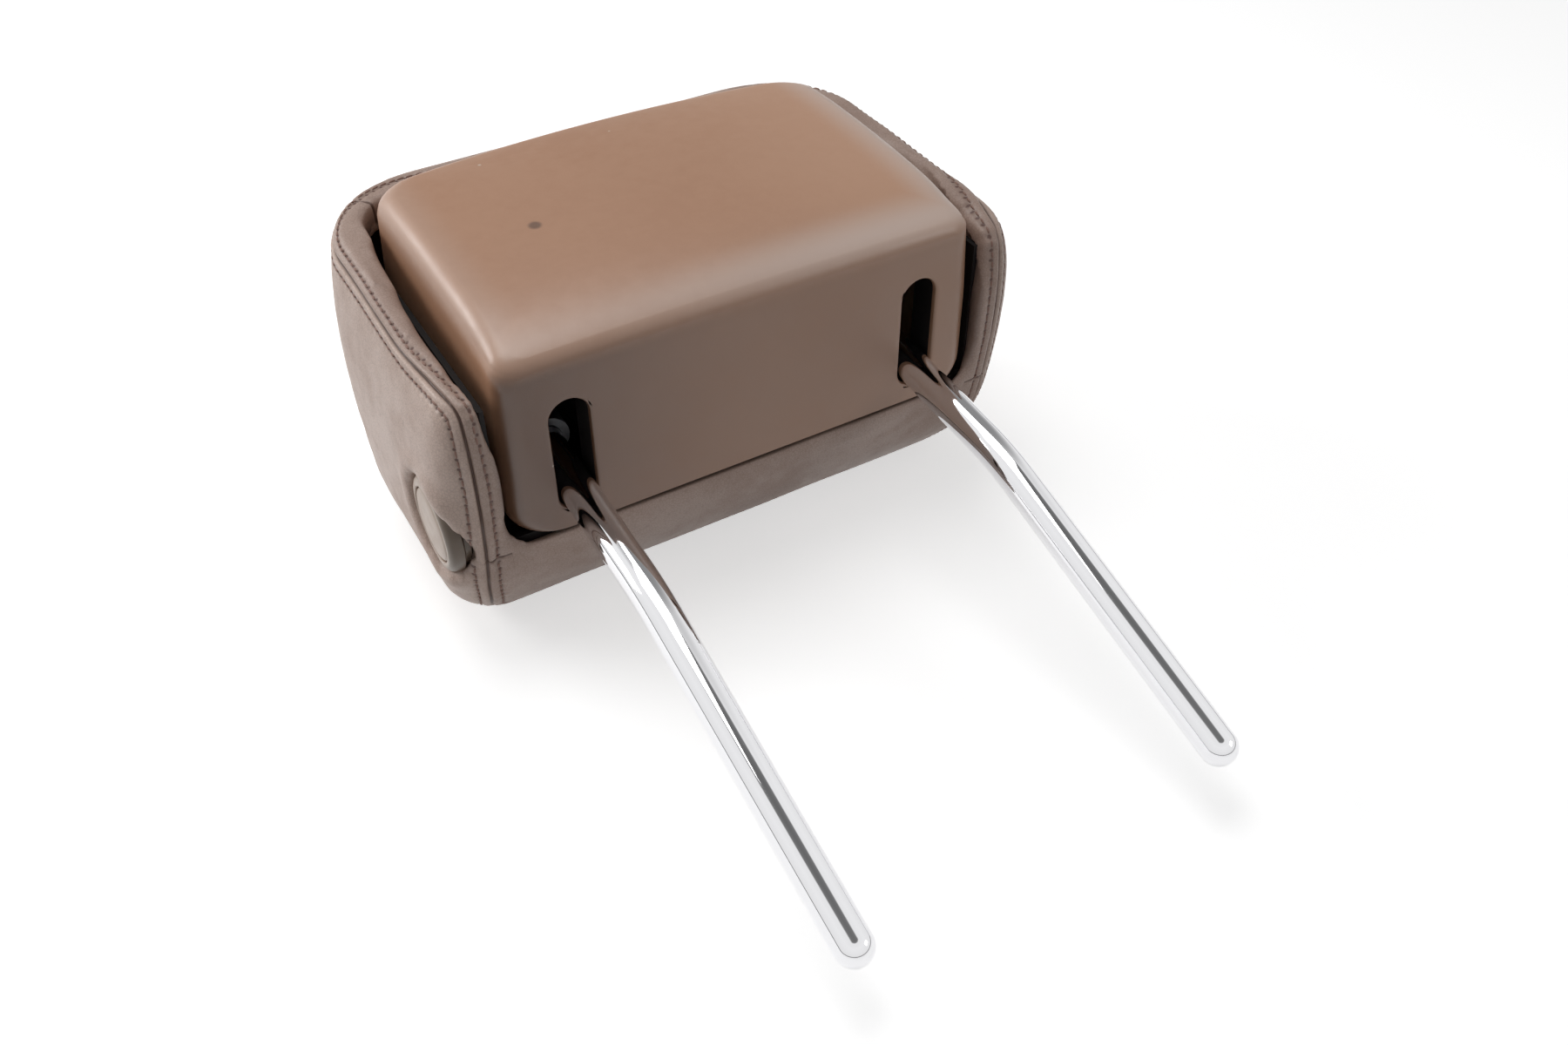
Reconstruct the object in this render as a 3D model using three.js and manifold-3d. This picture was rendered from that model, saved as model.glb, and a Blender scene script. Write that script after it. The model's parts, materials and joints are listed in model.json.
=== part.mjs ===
// Car headrest lying on its front face: padded leather head, moulded rear cover, two chromed posts.
// The head slides along Z on two rails while the posts stay put, and a side button frees the lock.
// Millimetres, +Z up (the head's rear side), posts towards -Y, X across the head.

import * as THREE from 'three';
import { mergeVertices } from 'three/addons/utils/BufferGeometryUtils.js';
import Module from 'manifold-3d';

const wasm = await Module();
wasm.setup();

// Driving dimensions: overall

const SEAT_GAP = 0.3;            // gap between two pieces that touch
const COVER_BOTTOM_TO_TOP = 156.4; // rear cover's lower face to the top of the cushion
const POST_REACH = 195;          // post ends to the rear cover's lower face

// Driving dimensions: posts

const POST_DIAMETER = 14;
const POST_BORE = 10;
const POST_SPACING = 150;
const POST_TIP_HEIGHT = 29;      // centre of the round post end above the front face
const POST_LOWER_SLOPE = 16.55;  // degrees, the long straight run
const POST_UPPER_SLOPE = 5;      // degrees, the run that enters the head
const POST_BEND_RADIUS = 120;
const POST_SOLID_END = 24;       // length of each post that isn't bored

// Driving dimensions: fore and aft slide

const SLIDE_TRAVEL = 34;
const SLOT_WIDTH = 16;
const SLOT_RAISE = 15.2;         // cover's front edge to the slot's lower arc centre
const LOCK_POSITIONS = 7;

// Driving dimensions: cushion

const RIM_WIDTH = 20.3;          // pocket's side to the cushion's widest line
const RIM_SETBACK = 11.4;        // rear rim below the rear cover's highest line
const WING_DROP = 3;             // wings reach this far below the cover's lower face
const WING_BOW = 0.0021;         // how fast the lower side falls back from its lowest line
const WING_BOW_HEIGHT = 95;
const WIDEST_HEIGHT = 79;
const REAR_DRAFT = 8.7;          // the sides draw in this much from the widest line to the rim
const SIDE_EDGE = [26.6, 38.1];  // front edge rounding: inset, depth
const LOWER_EDGE = [23.1, 45.6];
const UPPER_EDGE = [69.9, 65.3];
const LOWER_CORNER = [21.1, 16.7]; // outline radius at the front and at the rim
const UPPER_CORNER = [60, 47.3];
const RIM_ROUND = 3;
const RIM_ROUND_DEPTH = 10;
const RIM_FALL = 10;             // the rim drops this much towards its lower end
const RIM_KNEE = [15, 72, 102];  // where the fall ends, eases and starts, along Y
const LEATHER = 2;

// Driving dimensions: seams, seen from the rear

const SEAM_INSET = 7.9;          // seam inside the cushion's widest line, high up
const SEAM_LOW_INSET = 13.6;     // and low down
const SEAM_TOP_INSET = 4.6;
const SEAM_CORNER = 42;
const SEAM_NARROWS_FROM = 54.7;  // above the cover's lower face
const CROSS_SEAM_DROP = 4;       // cross seam below the cover's front edge
const FRONT_SEAM_HEIGHT = 6;
const LOWER_PANEL_REACH = 40;    // the lower panel ends this far in, below the pan

// Driving dimensions: pocket, pan and rear cover

const COVER_SIDE_GAP = 5;
const POCKET_END_GAP = 4.2;      // pocket end beyond the cover's top edge
const POCKET_CORNER = 16;
const GAP_LINE = 57.4;           // front edge of the rear cover above the front face
const PAN_DROP = 3.4;            // pan's floor below the cover's front edge
const PAN_WALL = 2.2;
const PAN_FLOOR = 3;
const PAN_WALL_HEIGHT = 64;
const PAN_SETBACK = 5;           // pan's lower edge behind the cover's lower face
const COVER_WALL = 2.5;
const COVER_SIDE = 26.5;         // post's axis to the cover's side
const COVER_DRAFT = 2.9;
const COVER_LENGTH = 140;
const COVER_ARCH = 9.6;          // top edge falls this much from the middle to the sides
const COVER_OVER_BRIDGE = 14.4;  // cover's highest line above the rail bridge
const COVER_CROWN = 1.2;
const COVER_FRONT_CORNER = 12.5;
const COVER_CORNERS = [9, 17];
const BOSS_RADIUS = 5;
const BOSS_PLACES = [[-84, 118.7], [84, 118.7], [-45, 13.5], [45, 13.5]]; // X, and Y above the lower face
const SCREW_RADIUS = 1.8;
const SCREW_HEAD_RADIUS = 4;
const SCREW_HEAD_HEIGHT = 2.5;
const SCREW_DEPTH = 12;
const LINER_WALL = 1.8;
const LINER_DEPTH = 12;

// Driving dimensions: carriage and rails

const CROSS_TUBE_RADIUS = 8;
const CROSS_TUBE_WALL = 2;
const CROSS_TUBE_SETBACK = 64.7; // cross tube's axis above the cover's lower face
const RAIL_RADIUS = 4;
const RAIL_HALF_SPACING = 40;
const RAIL_SETBACK = 92.7;
const SOCKET_HEIGHT = 6;
const BUSH_WALL = 1.7;
const TOWER_RADIUS = 9;
const TOWER_RAISE = 13.7;        // tower's top above the cross tube's axis
const BRIDGE_CLEARANCE = 4.3;    // bridge above the towers when the slide is full out
const BRIDGE_THICKNESS = 3;

// Driving dimensions: lock and release button

const BUTTON_TRAVEL = 3.5;
const BUTTON_SETBACK = 23;       // button axis above the cover's lower face
const BUTTON_RAISE = 4.3;        // button axis above the cover's front edge
const BUTTON_RADIUS = 14.8;
const BEZEL_RADIUS = 19.5;
const STEM_RADIUS = 3;
const LOCK_PIN_RADIUS = 1.5;
const LOCK_PIN_RAISE = 23.4;     // lock pin above the post's place in the slot
const RACK_INSET = 13.1;         // rack's notched edge inside the cover's side
const RACK_DEPTH = 5.6;
const NOTCH_DEPTH = 3;
const SLIDER_THICKNESS = 3.2;
const BEZEL_FLANGE = 9.6;        // bezel's face to the back of its wide part
const BUTTON_INSET = 0.2;        // button's face behind the cushion's widest line
const SHANK_RADIUS = 12;
const SHANK_WALL = 2.5;
const STEM_BUSH_WALL = 2.7;
const SPRING_WIRE = 0.6;
const SPRING_RADIUS = 7;
const SPRING_TURNS = 4;

// Places worked out from the driving dimensions

const LENGTH = POST_REACH + COVER_BOTTOM_TO_TOP;
const TOP_Y = LENGTH / 2;
const TIP_Y = -LENGTH / 2;
const FACE_Y = TIP_Y + POST_REACH;
const POST_X = POST_SPACING / 2;
const COVER_HALF_WIDTH = POST_X + COVER_SIDE;
const POCKET_HALF_WIDTH = COVER_HALF_WIDTH + COVER_SIDE_GAP;
const CUSHION_HALF_WIDTH = POCKET_HALF_WIDTH + RIM_WIDTH;
const SEAM_HALF_WIDTH = CUSHION_HALF_WIDTH - SEAM_INSET;
const SEAM_LOW_HALF_WIDTH = CUSHION_HALF_WIDTH - SEAM_LOW_INSET;
const CROSS_SEAM_HEIGHT = GAP_LINE - CROSS_SEAM_DROP;
const PAN_FLOOR_TOP = GAP_LINE - PAN_DROP;
const PAN_WALL_TOP = PAN_FLOOR_TOP + PAN_WALL_HEIGHT;
const SLOT_FIRST_HEIGHT = GAP_LINE + SLOT_RAISE;
const BUTTON_HEIGHT = GAP_LINE + BUTTON_RAISE;
const LOCK_PIN_HEIGHT = SLOT_FIRST_HEIGHT + LOCK_PIN_RAISE;
const RACK_TIP_X = RACK_INSET - COVER_HALF_WIDTH;
const POST_RADIUS = POST_DIAMETER / 2;
const WING_Y = FACE_Y - WING_DROP;
const POCKET_TOP_Y = FACE_Y + COVER_LENGTH + POCKET_END_GAP;
const PAN_LOW_Y = FACE_Y + PAN_SETBACK;
const PAN_FLOOR_BOTTOM = PAN_FLOOR_TOP - PAN_FLOOR;
const CROSS_Y = FACE_Y + CROSS_TUBE_SETBACK;
const RAIL_Y = FACE_Y + RAIL_SETBACK;
const BUTTON_Y = FACE_Y + BUTTON_SETBACK;
const UPPER_TAN = Math.tan(THREE.MathUtils.degToRad(POST_UPPER_SLOPE));
const LOWER_TAN = Math.tan(THREE.MathUtils.degToRad(POST_LOWER_SLOPE));
const NOTCH_PITCH = SLIDE_TRAVEL / (LOCK_POSITIONS - 1);
const PAN_OUTER = POCKET_HALF_WIDTH - SEAT_GAP;
const BUTTON_FACE = CUSHION_HALF_WIDTH - BUTTON_INSET;
const BEZEL_BACK = BUTTON_FACE - BEZEL_FLANGE;
const STEM_BUSH_OUTER = STEM_RADIUS + SEAT_GAP + STEM_BUSH_WALL;

const postHeightAt = (y) => SLOT_FIRST_HEIGHT + UPPER_TAN * (y - FACE_Y);
const CROSS_Z = postHeightAt(CROSS_Y);
const TOWER_TOP = CROSS_Z + TOWER_RAISE;
const BRIDGE_HEIGHT = TOWER_TOP + SLIDE_TRAVEL + BRIDGE_CLEARANCE;
const COVER_HEIGHT = BRIDGE_HEIGHT + COVER_OVER_BRIDGE;
const RIM_HEIGHT = COVER_HEIGHT - RIM_SETBACK;

// Helpers: solids and booleans

function solidOf(geometry) {
  const bare = geometry.clone();
  bare.deleteAttribute('normal');
  bare.deleteAttribute('uv');
  const merged = mergeVertices(bare, 1e-4);
  return new wasm.Manifold(new wasm.Mesh({
    numProp: 3,
    vertProperties: new Float32Array(merged.attributes.position.array),
    triVerts: new Uint32Array(merged.index.array),
  }));
}

function geometryOf(solid) {
  const mesh = solid.getMesh();
  const geometry = new THREE.BufferGeometry();
  geometry.setAttribute('position', new THREE.BufferAttribute(mesh.vertProperties, 3));
  geometry.setIndex(new THREE.BufferAttribute(mesh.triVerts, 1));
  geometry.computeVertexNormals();
  return geometry;
}

// The first geometry with all of the others cut away.
function cut(body, ...tools) {
  let solid = solidOf(body);
  for (const tool of tools) solid = solid.subtract(solidOf(tool));
  return geometryOf(solid);
}

function join(...bodies) {
  let solid = solidOf(bodies[0]);
  for (const body of bodies.slice(1)) solid = solid.add(solidOf(body));
  return geometryOf(solid);
}

function common(body, ...tools) {
  let solid = solidOf(body);
  for (const tool of tools) solid = solid.intersect(solidOf(tool));
  return geometryOf(solid);
}

// Helpers: shapes

function box(x0, x1, y0, y1, z0, z1) {
  const geometry = new THREE.BoxGeometry(x1 - x0, y1 - y0, z1 - z0);
  return geometry.translate((x0 + x1) / 2, (y0 + y1) / 2, (z0 + z1) / 2);
}

// A cylinder from a low to a high place along one axis, centred on the other two coordinates.
function rod(axis, radius, low, high, a, b, sides = 24) {
  const geometry = new THREE.CylinderGeometry(radius, radius, high - low, sides);
  const middle = (low + high) / 2;
  if (axis === 'x') return geometry.rotateZ(-Math.PI / 2).translate(middle, a, b);
  if (axis === 'y') return geometry.translate(a, middle, b);
  return geometry.rotateX(Math.PI / 2).translate(a, b, middle);
}

// An outline in X and Y, raised along Z.
function raise(points, z0, z1) {
  const shape = new THREE.Shape(points);
  const geometry = new THREE.ExtrudeGeometry(shape, { depth: z1 - z0, bevelEnabled: false });
  return geometry.translate(0, 0, z0);
}

// A turned profile of [radius, along] pairs that closes on itself or on the axis, along +X.
function turnedAlongX(profile, sides = 32) {
  const points = profile.map(([radius, along]) => new THREE.Vector2(radius, along));
  return new THREE.LatheGeometry(points, sides).rotateZ(-Math.PI / 2);
}

function turnedAlongZ(profile, sides = 24) {
  const points = profile.map(([radius, along]) => new THREE.Vector2(radius, along));
  return new THREE.LatheGeometry(points, sides).rotateX(Math.PI / 2);
}

// A closed skin through rings of equal point counts, with a fan to a middle point at each end.
function loft(rings, firstApex = null, lastApex = null) {
  const count = rings[0].length;
  const vertices = rings.flat();
  const middle = (ring) => ring.reduce((sum, p) => sum.add(p), new THREE.Vector3()).divideScalar(count);
  vertices.push(firstApex ?? middle(rings[0]), lastApex ?? middle(rings.at(-1)));
  const first = vertices.length - 2;
  const last = vertices.length - 1;
  const start = (rings.length - 1) * count;
  const index = [];
  for (let i = 0; i < count; i++) {
    const next = (i + 1) % count;
    for (let ring = 0; ring < rings.length - 1; ring++) {
      const here = ring * count;
      index.push(here + i, here + next, here + count + next);
      index.push(here + i, here + count + next, here + count + i);
    }
    index.push(first, next, i);
    index.push(last, start + i, start + next);
  }
  const geometry = new THREE.BufferGeometry();
  geometry.setAttribute('position', new THREE.Float32BufferAttribute(vertices.flatMap((v) => v.toArray()), 3));
  geometry.setIndex(index);
  return geometry;
}

// Half of a rounded outline, from the middle of its lower edge round to the middle of its upper
// edge, mirrored to the other side. The counts give the points on each stretch.
function roundedOutline(halfWidth, low, high, lowRadius, highRadius, counts) {
  const [onLow, onLowCorner, onSide, onHighCorner, onHigh] = counts;
  const { lerp } = THREE.MathUtils;
  const half = [];
  for (let i = 0; i < onLow; i++) half.push([lerp(0, halfWidth - lowRadius, i / onLow), low]);
  for (let i = 0; i < onLowCorner; i++) {
    const turn = -Math.PI / 2 + (Math.PI / 2) * (i / onLowCorner);
    half.push([halfWidth - lowRadius + lowRadius * Math.cos(turn), low + lowRadius + lowRadius * Math.sin(turn)]);
  }
  for (let i = 0; i < onSide; i++) half.push([halfWidth, lerp(low + lowRadius, high - highRadius, i / onSide)]);
  for (let i = 0; i < onHighCorner; i++) {
    const turn = (Math.PI / 2) * (i / onHighCorner);
    half.push([halfWidth - highRadius + highRadius * Math.cos(turn), high - highRadius + highRadius * Math.sin(turn)]);
  }
  for (let i = 0; i <= onHigh; i++) half.push([lerp(halfWidth - highRadius, 0, i / onHigh), high]);
  const mirrored = half.slice(1, -1).reverse().map(([x, y]) => [-x, y]);
  return [...half, ...mirrored];
}

// How far an elliptical edge rounding draws in at a depth measured from the face.
function edgeInset([inset, depth], height) {
  if (height >= depth) return 0;
  return inset * (1 - Math.sqrt(1 - ((depth - height) / depth) ** 2));
}

// Cushion: one outer form, from which the leather panels and the foam are cut

const CUSHION_LEVELS = [0, 1.2, 4.5, 10, 17.5, 27, 40, 56, 79, 100, 117, 126, 131, RIM_HEIGHT];
const CUSHION_COUNTS = [3, 5, 5, 7, 4];

// The rim's height at a place along Y, as a share of its full height.
function rimShare(y) {
  const [end, ease, start] = RIM_KNEE;
  const eased = RIM_HEIGHT - 0.23 * RIM_FALL;
  const lowest = RIM_HEIGHT - RIM_FALL;
  if (y >= start) return 1;
  if (y >= ease) return THREE.MathUtils.mapLinear(y, ease, start, eased, RIM_HEIGHT) / RIM_HEIGHT;
  const held = Math.max(y, end);
  return THREE.MathUtils.mapLinear(held, end, ease, lowest, eased) / RIM_HEIGHT;
}

function cushionForm(inset) {
  const rings = CUSHION_LEVELS.map((level) => {
    const rise = level / RIM_HEIGHT;
    const draft = level > WIDEST_HEIGHT ? REAR_DRAFT * ((level - WIDEST_HEIGHT) / (RIM_HEIGHT - WIDEST_HEIGHT)) ** 2 : 0;
    const rim = edgeInset([RIM_ROUND, RIM_ROUND_DEPTH], RIM_HEIGHT - level);
    const side = edgeInset(SIDE_EDGE, level) + draft + rim;
    const upper = edgeInset(UPPER_EDGE, level) + rim;
    const lower = edgeInset(LOWER_EDGE, level) + WING_BOW * (level - WING_BOW_HEIGHT) ** 2 + rim;
    const halfWidth = CUSHION_HALF_WIDTH - side - inset;
    const lowRadius = THREE.MathUtils.lerp(...LOWER_CORNER, rise) - 0.4 * side - inset;
    const highRadius = THREE.MathUtils.lerp(...UPPER_CORNER, rise) - 0.4 * side - inset;
    const outline = roundedOutline(
      halfWidth, WING_Y + lower + inset, TOP_Y - upper - inset, lowRadius, highRadius, CUSHION_COUNTS);
    return outline.map(([x, y]) => {
      const full = level * (1 + (rimShare(y) - 1) * rise ** 3);
      return new THREE.Vector3(x, y, inset + full * (1 - (2 * inset) / RIM_HEIGHT));
    });
  });
  return loft(rings);
}

// The pocket that holds the pan and rear cover, grown by a margin: open to the rear, and to the
// lower side above the gap line.
function pocketOutline(grow, lowY) {
  const outline = roundedOutline(
    POCKET_HALF_WIDTH + grow, lowY, POCKET_TOP_Y + grow, 0.5, POCKET_CORNER + grow, [1, 1, 1, 6, 2]);
  return outline.map(([x, y]) => new THREE.Vector2(x, y));
}

// Places that are outside the whole head, for the far ends of cutting shapes.
const ABOVE_ALL = 2 * RIM_HEIGHT;
const BELOW_ALL = 2 * TIP_Y;
const BESIDE_ALL = 2 * CUSHION_HALF_WIDTH;

const innerPocket = (grow) => raise(pocketOutline(grow, PAN_LOW_Y - SEAT_GAP), PAN_FLOOR_BOTTOM - SEAT_GAP, ABOVE_ALL);
const openPocket = (grow, z0) => raise(pocketOutline(grow, BELOW_ALL), z0, ABOVE_ALL);

// The seam round the rim, seen from the rear: inside it lie the rear band and the lower panel.
function seamOutline(grow) {
  const wide = SEAM_HALF_WIDTH + grow;
  const narrow = SEAM_LOW_HALF_WIDTH + grow;
  const top = TOP_Y - SEAM_TOP_INSET + grow;
  const half = [[narrow, BELOW_ALL], [narrow, FACE_Y + 4]];
  for (let i = 1; i <= 5; i++) {
    const y = THREE.MathUtils.lerp(FACE_Y + 4, FACE_Y + SEAM_NARROWS_FROM, i / 5);
    half.push([narrow + (wide - narrow) * Math.sin((Math.PI / 2) * (i / 5)), y]);
  }
  for (let i = 0; i <= 8; i++) {
    const turn = (Math.PI / 2) * (i / 8);
    half.push([wide - SEAM_CORNER + SEAM_CORNER * Math.cos(turn), top - SEAM_CORNER + SEAM_CORNER * Math.sin(turn)]);
  }
  const mirrored = [...half].reverse().map(([x, y]) => [-x, y]);
  return [...half, ...mirrored].map(([x, y]) => new THREE.Vector2(x, y));
}

// Round hole through the left side for the release button, stepped behind its bezel.
const bezelHole = () =>
  rod('x', BEZEL_RADIUS + 0.5, -BESIDE_ALL, -BEZEL_BACK + SEAT_GAP, BUTTON_Y, BUTTON_HEIGHT, 32);

function buttonHole() {
  return join(
    bezelHole(),
    rod('x', SHANK_RADIUS + 0.5, -BEZEL_BACK - 1, -PAN_OUTER, BUTTON_Y, BUTTON_HEIGHT));
}

function leatherSkin() {
  const keptFoam = cut(cushionForm(LEATHER), openPocket(LEATHER, GAP_LINE - LEATHER - SEAT_GAP));
  const flankHole = rod('x', SPRING_RADIUS + 2, -POCKET_HALF_WIDTH - 8, -COVER_HALF_WIDTH, BUTTON_Y, BUTTON_HEIGHT);
  return cut(cushionForm(0), innerPocket(0), openPocket(0, GAP_LINE), keptFoam, flankHole, bezelHole());
}

function foamCore() {
  const gap = SEAT_GAP;
  const reliefs = BOSS_PLACES.map(([x, dy]) =>
    rod('z', SCREW_HEAD_RADIUS + 0.6, PAN_FLOOR_BOTTOM - SCREW_HEAD_HEIGHT - 2, PAN_FLOOR_BOTTOM + 1, x, FACE_Y + dy, 16));
  return cut(cushionForm(LEATHER + gap), innerPocket(gap), openPocket(LEATHER + gap, GAP_LINE - LEATHER - 2 * gap),
    buttonHole(), ...reliefs);
}

// The rear band: everything inside the seam near the rim, and only the pocket's lining low down
// at the upper end, where the seam has left the cushion's corners.
function bandZone(grow) {
  const low = CROSS_SEAM_HEIGHT - grow;
  const high = CROSS_SEAM_HEIGHT + 8;
  const wings = common(raise(seamOutline(grow), low, high), box(-BESIDE_ALL, BESIDE_ALL, BELOW_ALL, FACE_Y + SEAM_NARROWS_FROM, low, high));
  return join(
    raise(seamOutline(grow), high - 1 - grow, ABOVE_ALL),
    wings,
    raise(pocketOutline(LEATHER + 0.2 + grow, BELOW_ALL), GAP_LINE - LEATHER - SEAT_GAP - grow, high));
}

const lowerZone = (grow) => join(
  box(-SEAM_LOW_HALF_WIDTH - grow, SEAM_LOW_HALF_WIDTH + grow, BELOW_ALL, FACE_Y + LOWER_PANEL_REACH,
    FRONT_SEAM_HEIGHT - grow, CROSS_SEAM_HEIGHT - SEAT_GAP + 2 * grow),
  mouthZone(grow - SEAT_GAP));

// The short stretch of the lower side that stands between the two legs of the rear band.
const mouthZone = (grow) => box(-POCKET_HALF_WIDTH - grow, POCKET_HALF_WIDTH + grow, BELOW_ALL, PAN_LOW_Y,
  CROSS_SEAM_HEIGHT - CROSS_SEAM_DROP, GAP_LINE + 1);

function leatherPanels() {
  const skin = leatherSkin();
  return {
    main_panel: cut(skin, bandZone(SEAT_GAP), lowerZone(SEAT_GAP)),
    rear_band: cut(common(skin, bandZone(0)), mouthZone(0)),
    bottom_panel: common(skin, lowerZone(0)),
  };
}

// Inner pan: a tray that lines the pocket and carries rails, lock and cover

function innerPan() {
  const block = raise(pocketOutline(-SEAT_GAP, PAN_LOW_Y), PAN_FLOOR_BOTTOM, PAN_WALL_TOP);
  const inside = openPocket(-SEAT_GAP - PAN_WALL, PAN_FLOOR_TOP);
  const lip = box(-PAN_OUTER + PAN_WALL / 2, PAN_OUTER - PAN_WALL / 2, PAN_LOW_Y, PAN_LOW_Y + PAN_WALL,
    PAN_FLOOR_BOTTOM + 1, GAP_LINE - SEAT_GAP);
  const sockets = [-1, 1].map((side) =>
    rod('z', RAIL_RADIUS + 4, PAN_FLOOR_TOP - 1, PAN_FLOOR_TOP + SOCKET_HEIGHT, side * RAIL_HALF_SPACING, RAIL_Y));
  const railSeats = [-1, 1].map((side) =>
    rod('z', RAIL_RADIUS + SEAT_GAP, PAN_FLOOR_TOP, ABOVE_ALL, side * RAIL_HALF_SPACING, RAIL_Y));
  const screwHoles = BOSS_PLACES.map(([x, dy]) =>
    rod('z', SCREW_RADIUS + SEAT_GAP, 0, ABOVE_ALL, x, FACE_Y + dy, 16));
  const bushHole = rod('x', STEM_BUSH_OUTER + SEAT_GAP, -PAN_OUTER - 5, -PAN_OUTER + 10, BUTTON_Y, BUTTON_HEIGHT);
  return cut(join(cut(block, inside), lip, ...sockets), ...railSeats, ...screwHoles, bushHole);
}

// Rear cover: a drafted tub, open towards the cushion, with two slots for the posts

const COVER_DEPTH = COVER_HEIGHT - GAP_LINE;
// The rear face sweeps down to the lower face: [above the lower face, below the highest line].
const COVER_SWEEP = [[0, 12.2], [4, 9.7], [11.5, 7], [26, 3.4], [53, 1.4], [88, 0]];
const COVER_DRAFT_FROM = 42;
const COVER_LEVELS = [0, 1.5, 4, 7.5, COVER_FRONT_CORNER, COVER_DRAFT_FROM, 66,
  ...COVER_SWEEP.map(([, below]) => COVER_DEPTH - below)];
const COVER_COUNTS = [3, 4, 4, 5, 6];
const COVER_RIM = [6, 7];         // rounding at the sides: inset, depth
const COVER_FAR_RIM = [9, 11];   // and at the top edge

function sweepStart(below) {
  const after = COVER_SWEEP.findIndex(([, depth]) => depth <= below);
  if (after === 0) return 0;
  const [y0, b0] = COVER_SWEEP[after - 1];
  const [y1, b1] = COVER_SWEEP[after];
  return THREE.MathUtils.mapLinear(below, b0, b1, y0, y1);
}

function coverForm(inset, extension) {
  const ringAt = (level, drop) => {
    const share = Math.max(0, (level - COVER_DRAFT_FROM) / (COVER_DEPTH - COVER_DRAFT_FROM));
    const draft = COVER_DRAFT * share;
    const front = edgeInset([COVER_FRONT_CORNER, COVER_FRONT_CORNER], level);
    const edge = edgeInset(COVER_RIM, COVER_DEPTH - level);
    const farEdge = edgeInset(COVER_FAR_RIM, COVER_DEPTH - level);
    const halfWidth = COVER_HALF_WIDTH - draft - front - edge - inset;
    const low = FACE_Y + sweepStart(COVER_DEPTH - level) + inset;
    const high = FACE_Y + COVER_LENGTH - farEdge - inset;
    const outline = roundedOutline(
      halfWidth, low, high, COVER_CORNERS[0] - inset, COVER_CORNERS[1] - inset - 0.5 * edge, COVER_COUNTS);
    const middle = FACE_Y + COVER_LENGTH / 2;
    return outline.map(([x, y]) => {
      const across = (x / COVER_HALF_WIDTH) ** 2;
      const arched = y - COVER_ARCH * across * Math.max(0, (y - middle) / (high - middle));
      const height = (COVER_DEPTH - inset) * (level / COVER_DEPTH) + COVER_CROWN * (1 - across) * share ** 3;
      return new THREE.Vector3(x, arched, GAP_LINE + height - drop);
    });
  };
  const rings = COVER_LEVELS.map((level) => ringAt(level, 0));
  if (extension > 0) rings.unshift(ringAt(0, extension));
  return loft(rings);
}

// A shape in X and Z, raised along Y.
function raiseAlongY(shape, y0, y1, curveSegments = 10) {
  const geometry = new THREE.ExtrudeGeometry(shape, { depth: y1 - y0, bevelEnabled: false, curveSegments });
  return geometry.rotateX(Math.PI / 2).translate(0, y1, 0);
}

// An upright slot with round ends, centred on x.
function slotShape(x, radius, low, high) {
  const shape = new THREE.Shape();
  shape.absarc(x, high, radius, 0, Math.PI, false);
  shape.absarc(x, low, radius, Math.PI, 2 * Math.PI, false);
  return shape;
}

const SLOT_RADIUS = SLOT_WIDTH / 2;
const SLOT_LAST_HEIGHT = SLOT_FIRST_HEIGHT + SLIDE_TRAVEL;
const BOTH_SIDES = [-1, 1];

function rearCover() {
  const outside = coverForm(0, 0);
  const inside = coverForm(COVER_WALL, 10);
  const bosses = BOSS_PLACES.map(([x, dy]) =>
    common(rod('z', BOSS_RADIUS, PAN_FLOOR_TOP + SEAT_GAP, ABOVE_ALL, x, FACE_Y + dy, 16), coverForm(0, 10)));
  const threads = BOSS_PLACES.map(([x, dy]) =>
    rod('z', SCREW_RADIUS + SEAT_GAP, 0, PAN_FLOOR_TOP + SCREW_DEPTH + 1, x, FACE_Y + dy, 12));
  const slots = BOTH_SIDES.map((side) =>
    raiseAlongY(slotShape(side * POST_X, SLOT_RADIUS, SLOT_FIRST_HEIGHT, SLOT_LAST_HEIGHT), FACE_Y - 1, FACE_Y + 4));
  return cut(join(cut(outside, inside), ...bosses), ...threads, ...slots, stemSlot());
}

// Open-ended notch in the left wall, so that the cover drops on over the button's stem and rack.
function stemSlot() {
  const half = STEM_RADIUS + 2.5;
  const [x0, x1] = [-COVER_HALF_WIDTH - 5, -COVER_HALF_WIDTH + 16];
  return join(
    rod('x', half, x0, x1, BUTTON_Y, BUTTON_HEIGHT),
    box(x0, x1, BUTTON_Y - half, BUTTON_Y + half + 4, 0, BUTTON_HEIGHT));
}

// Black sleeve behind each slot, with room for the post's slope.
function slotLiner() {
  const y0 = FACE_Y + COVER_WALL + SEAT_GAP;
  const y1 = y0 + LINER_DEPTH;
  const high = SLOT_LAST_HEIGHT + UPPER_TAN * (y1 - FACE_Y);
  const inner = SLOT_RADIUS + 0.2;
  const sleeve = raiseAlongY(slotShape(0, inner + LINER_WALL, SLOT_FIRST_HEIGHT, high), y0, y1);
  const flange = raiseAlongY(slotShape(0, inner + 2.4 * LINER_WALL, SLOT_FIRST_HEIGHT, high), y0, y0 + 1.5);
  const opening = raiseAlongY(slotShape(0, inner, SLOT_FIRST_HEIGHT, high), y0 - 1, y1 + 1);
  return cut(join(sleeve, flange), opening);
}

function coverScrew() {
  const top = PAN_FLOOR_TOP + SCREW_DEPTH;
  const under = PAN_FLOOR_BOTTOM - SEAT_GAP;
  return turnedAlongZ([[0, under - SCREW_HEAD_HEIGHT], [SCREW_HEAD_RADIUS, under - SCREW_HEAD_HEIGHT + 0.8],
    [SCREW_HEAD_RADIUS, under], [SCREW_RADIUS, under], [SCREW_RADIUS, top - 1.5], [0, top]], 12);
}

// Posts: bent tubes with closed round ends, bored from the head's side

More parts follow.
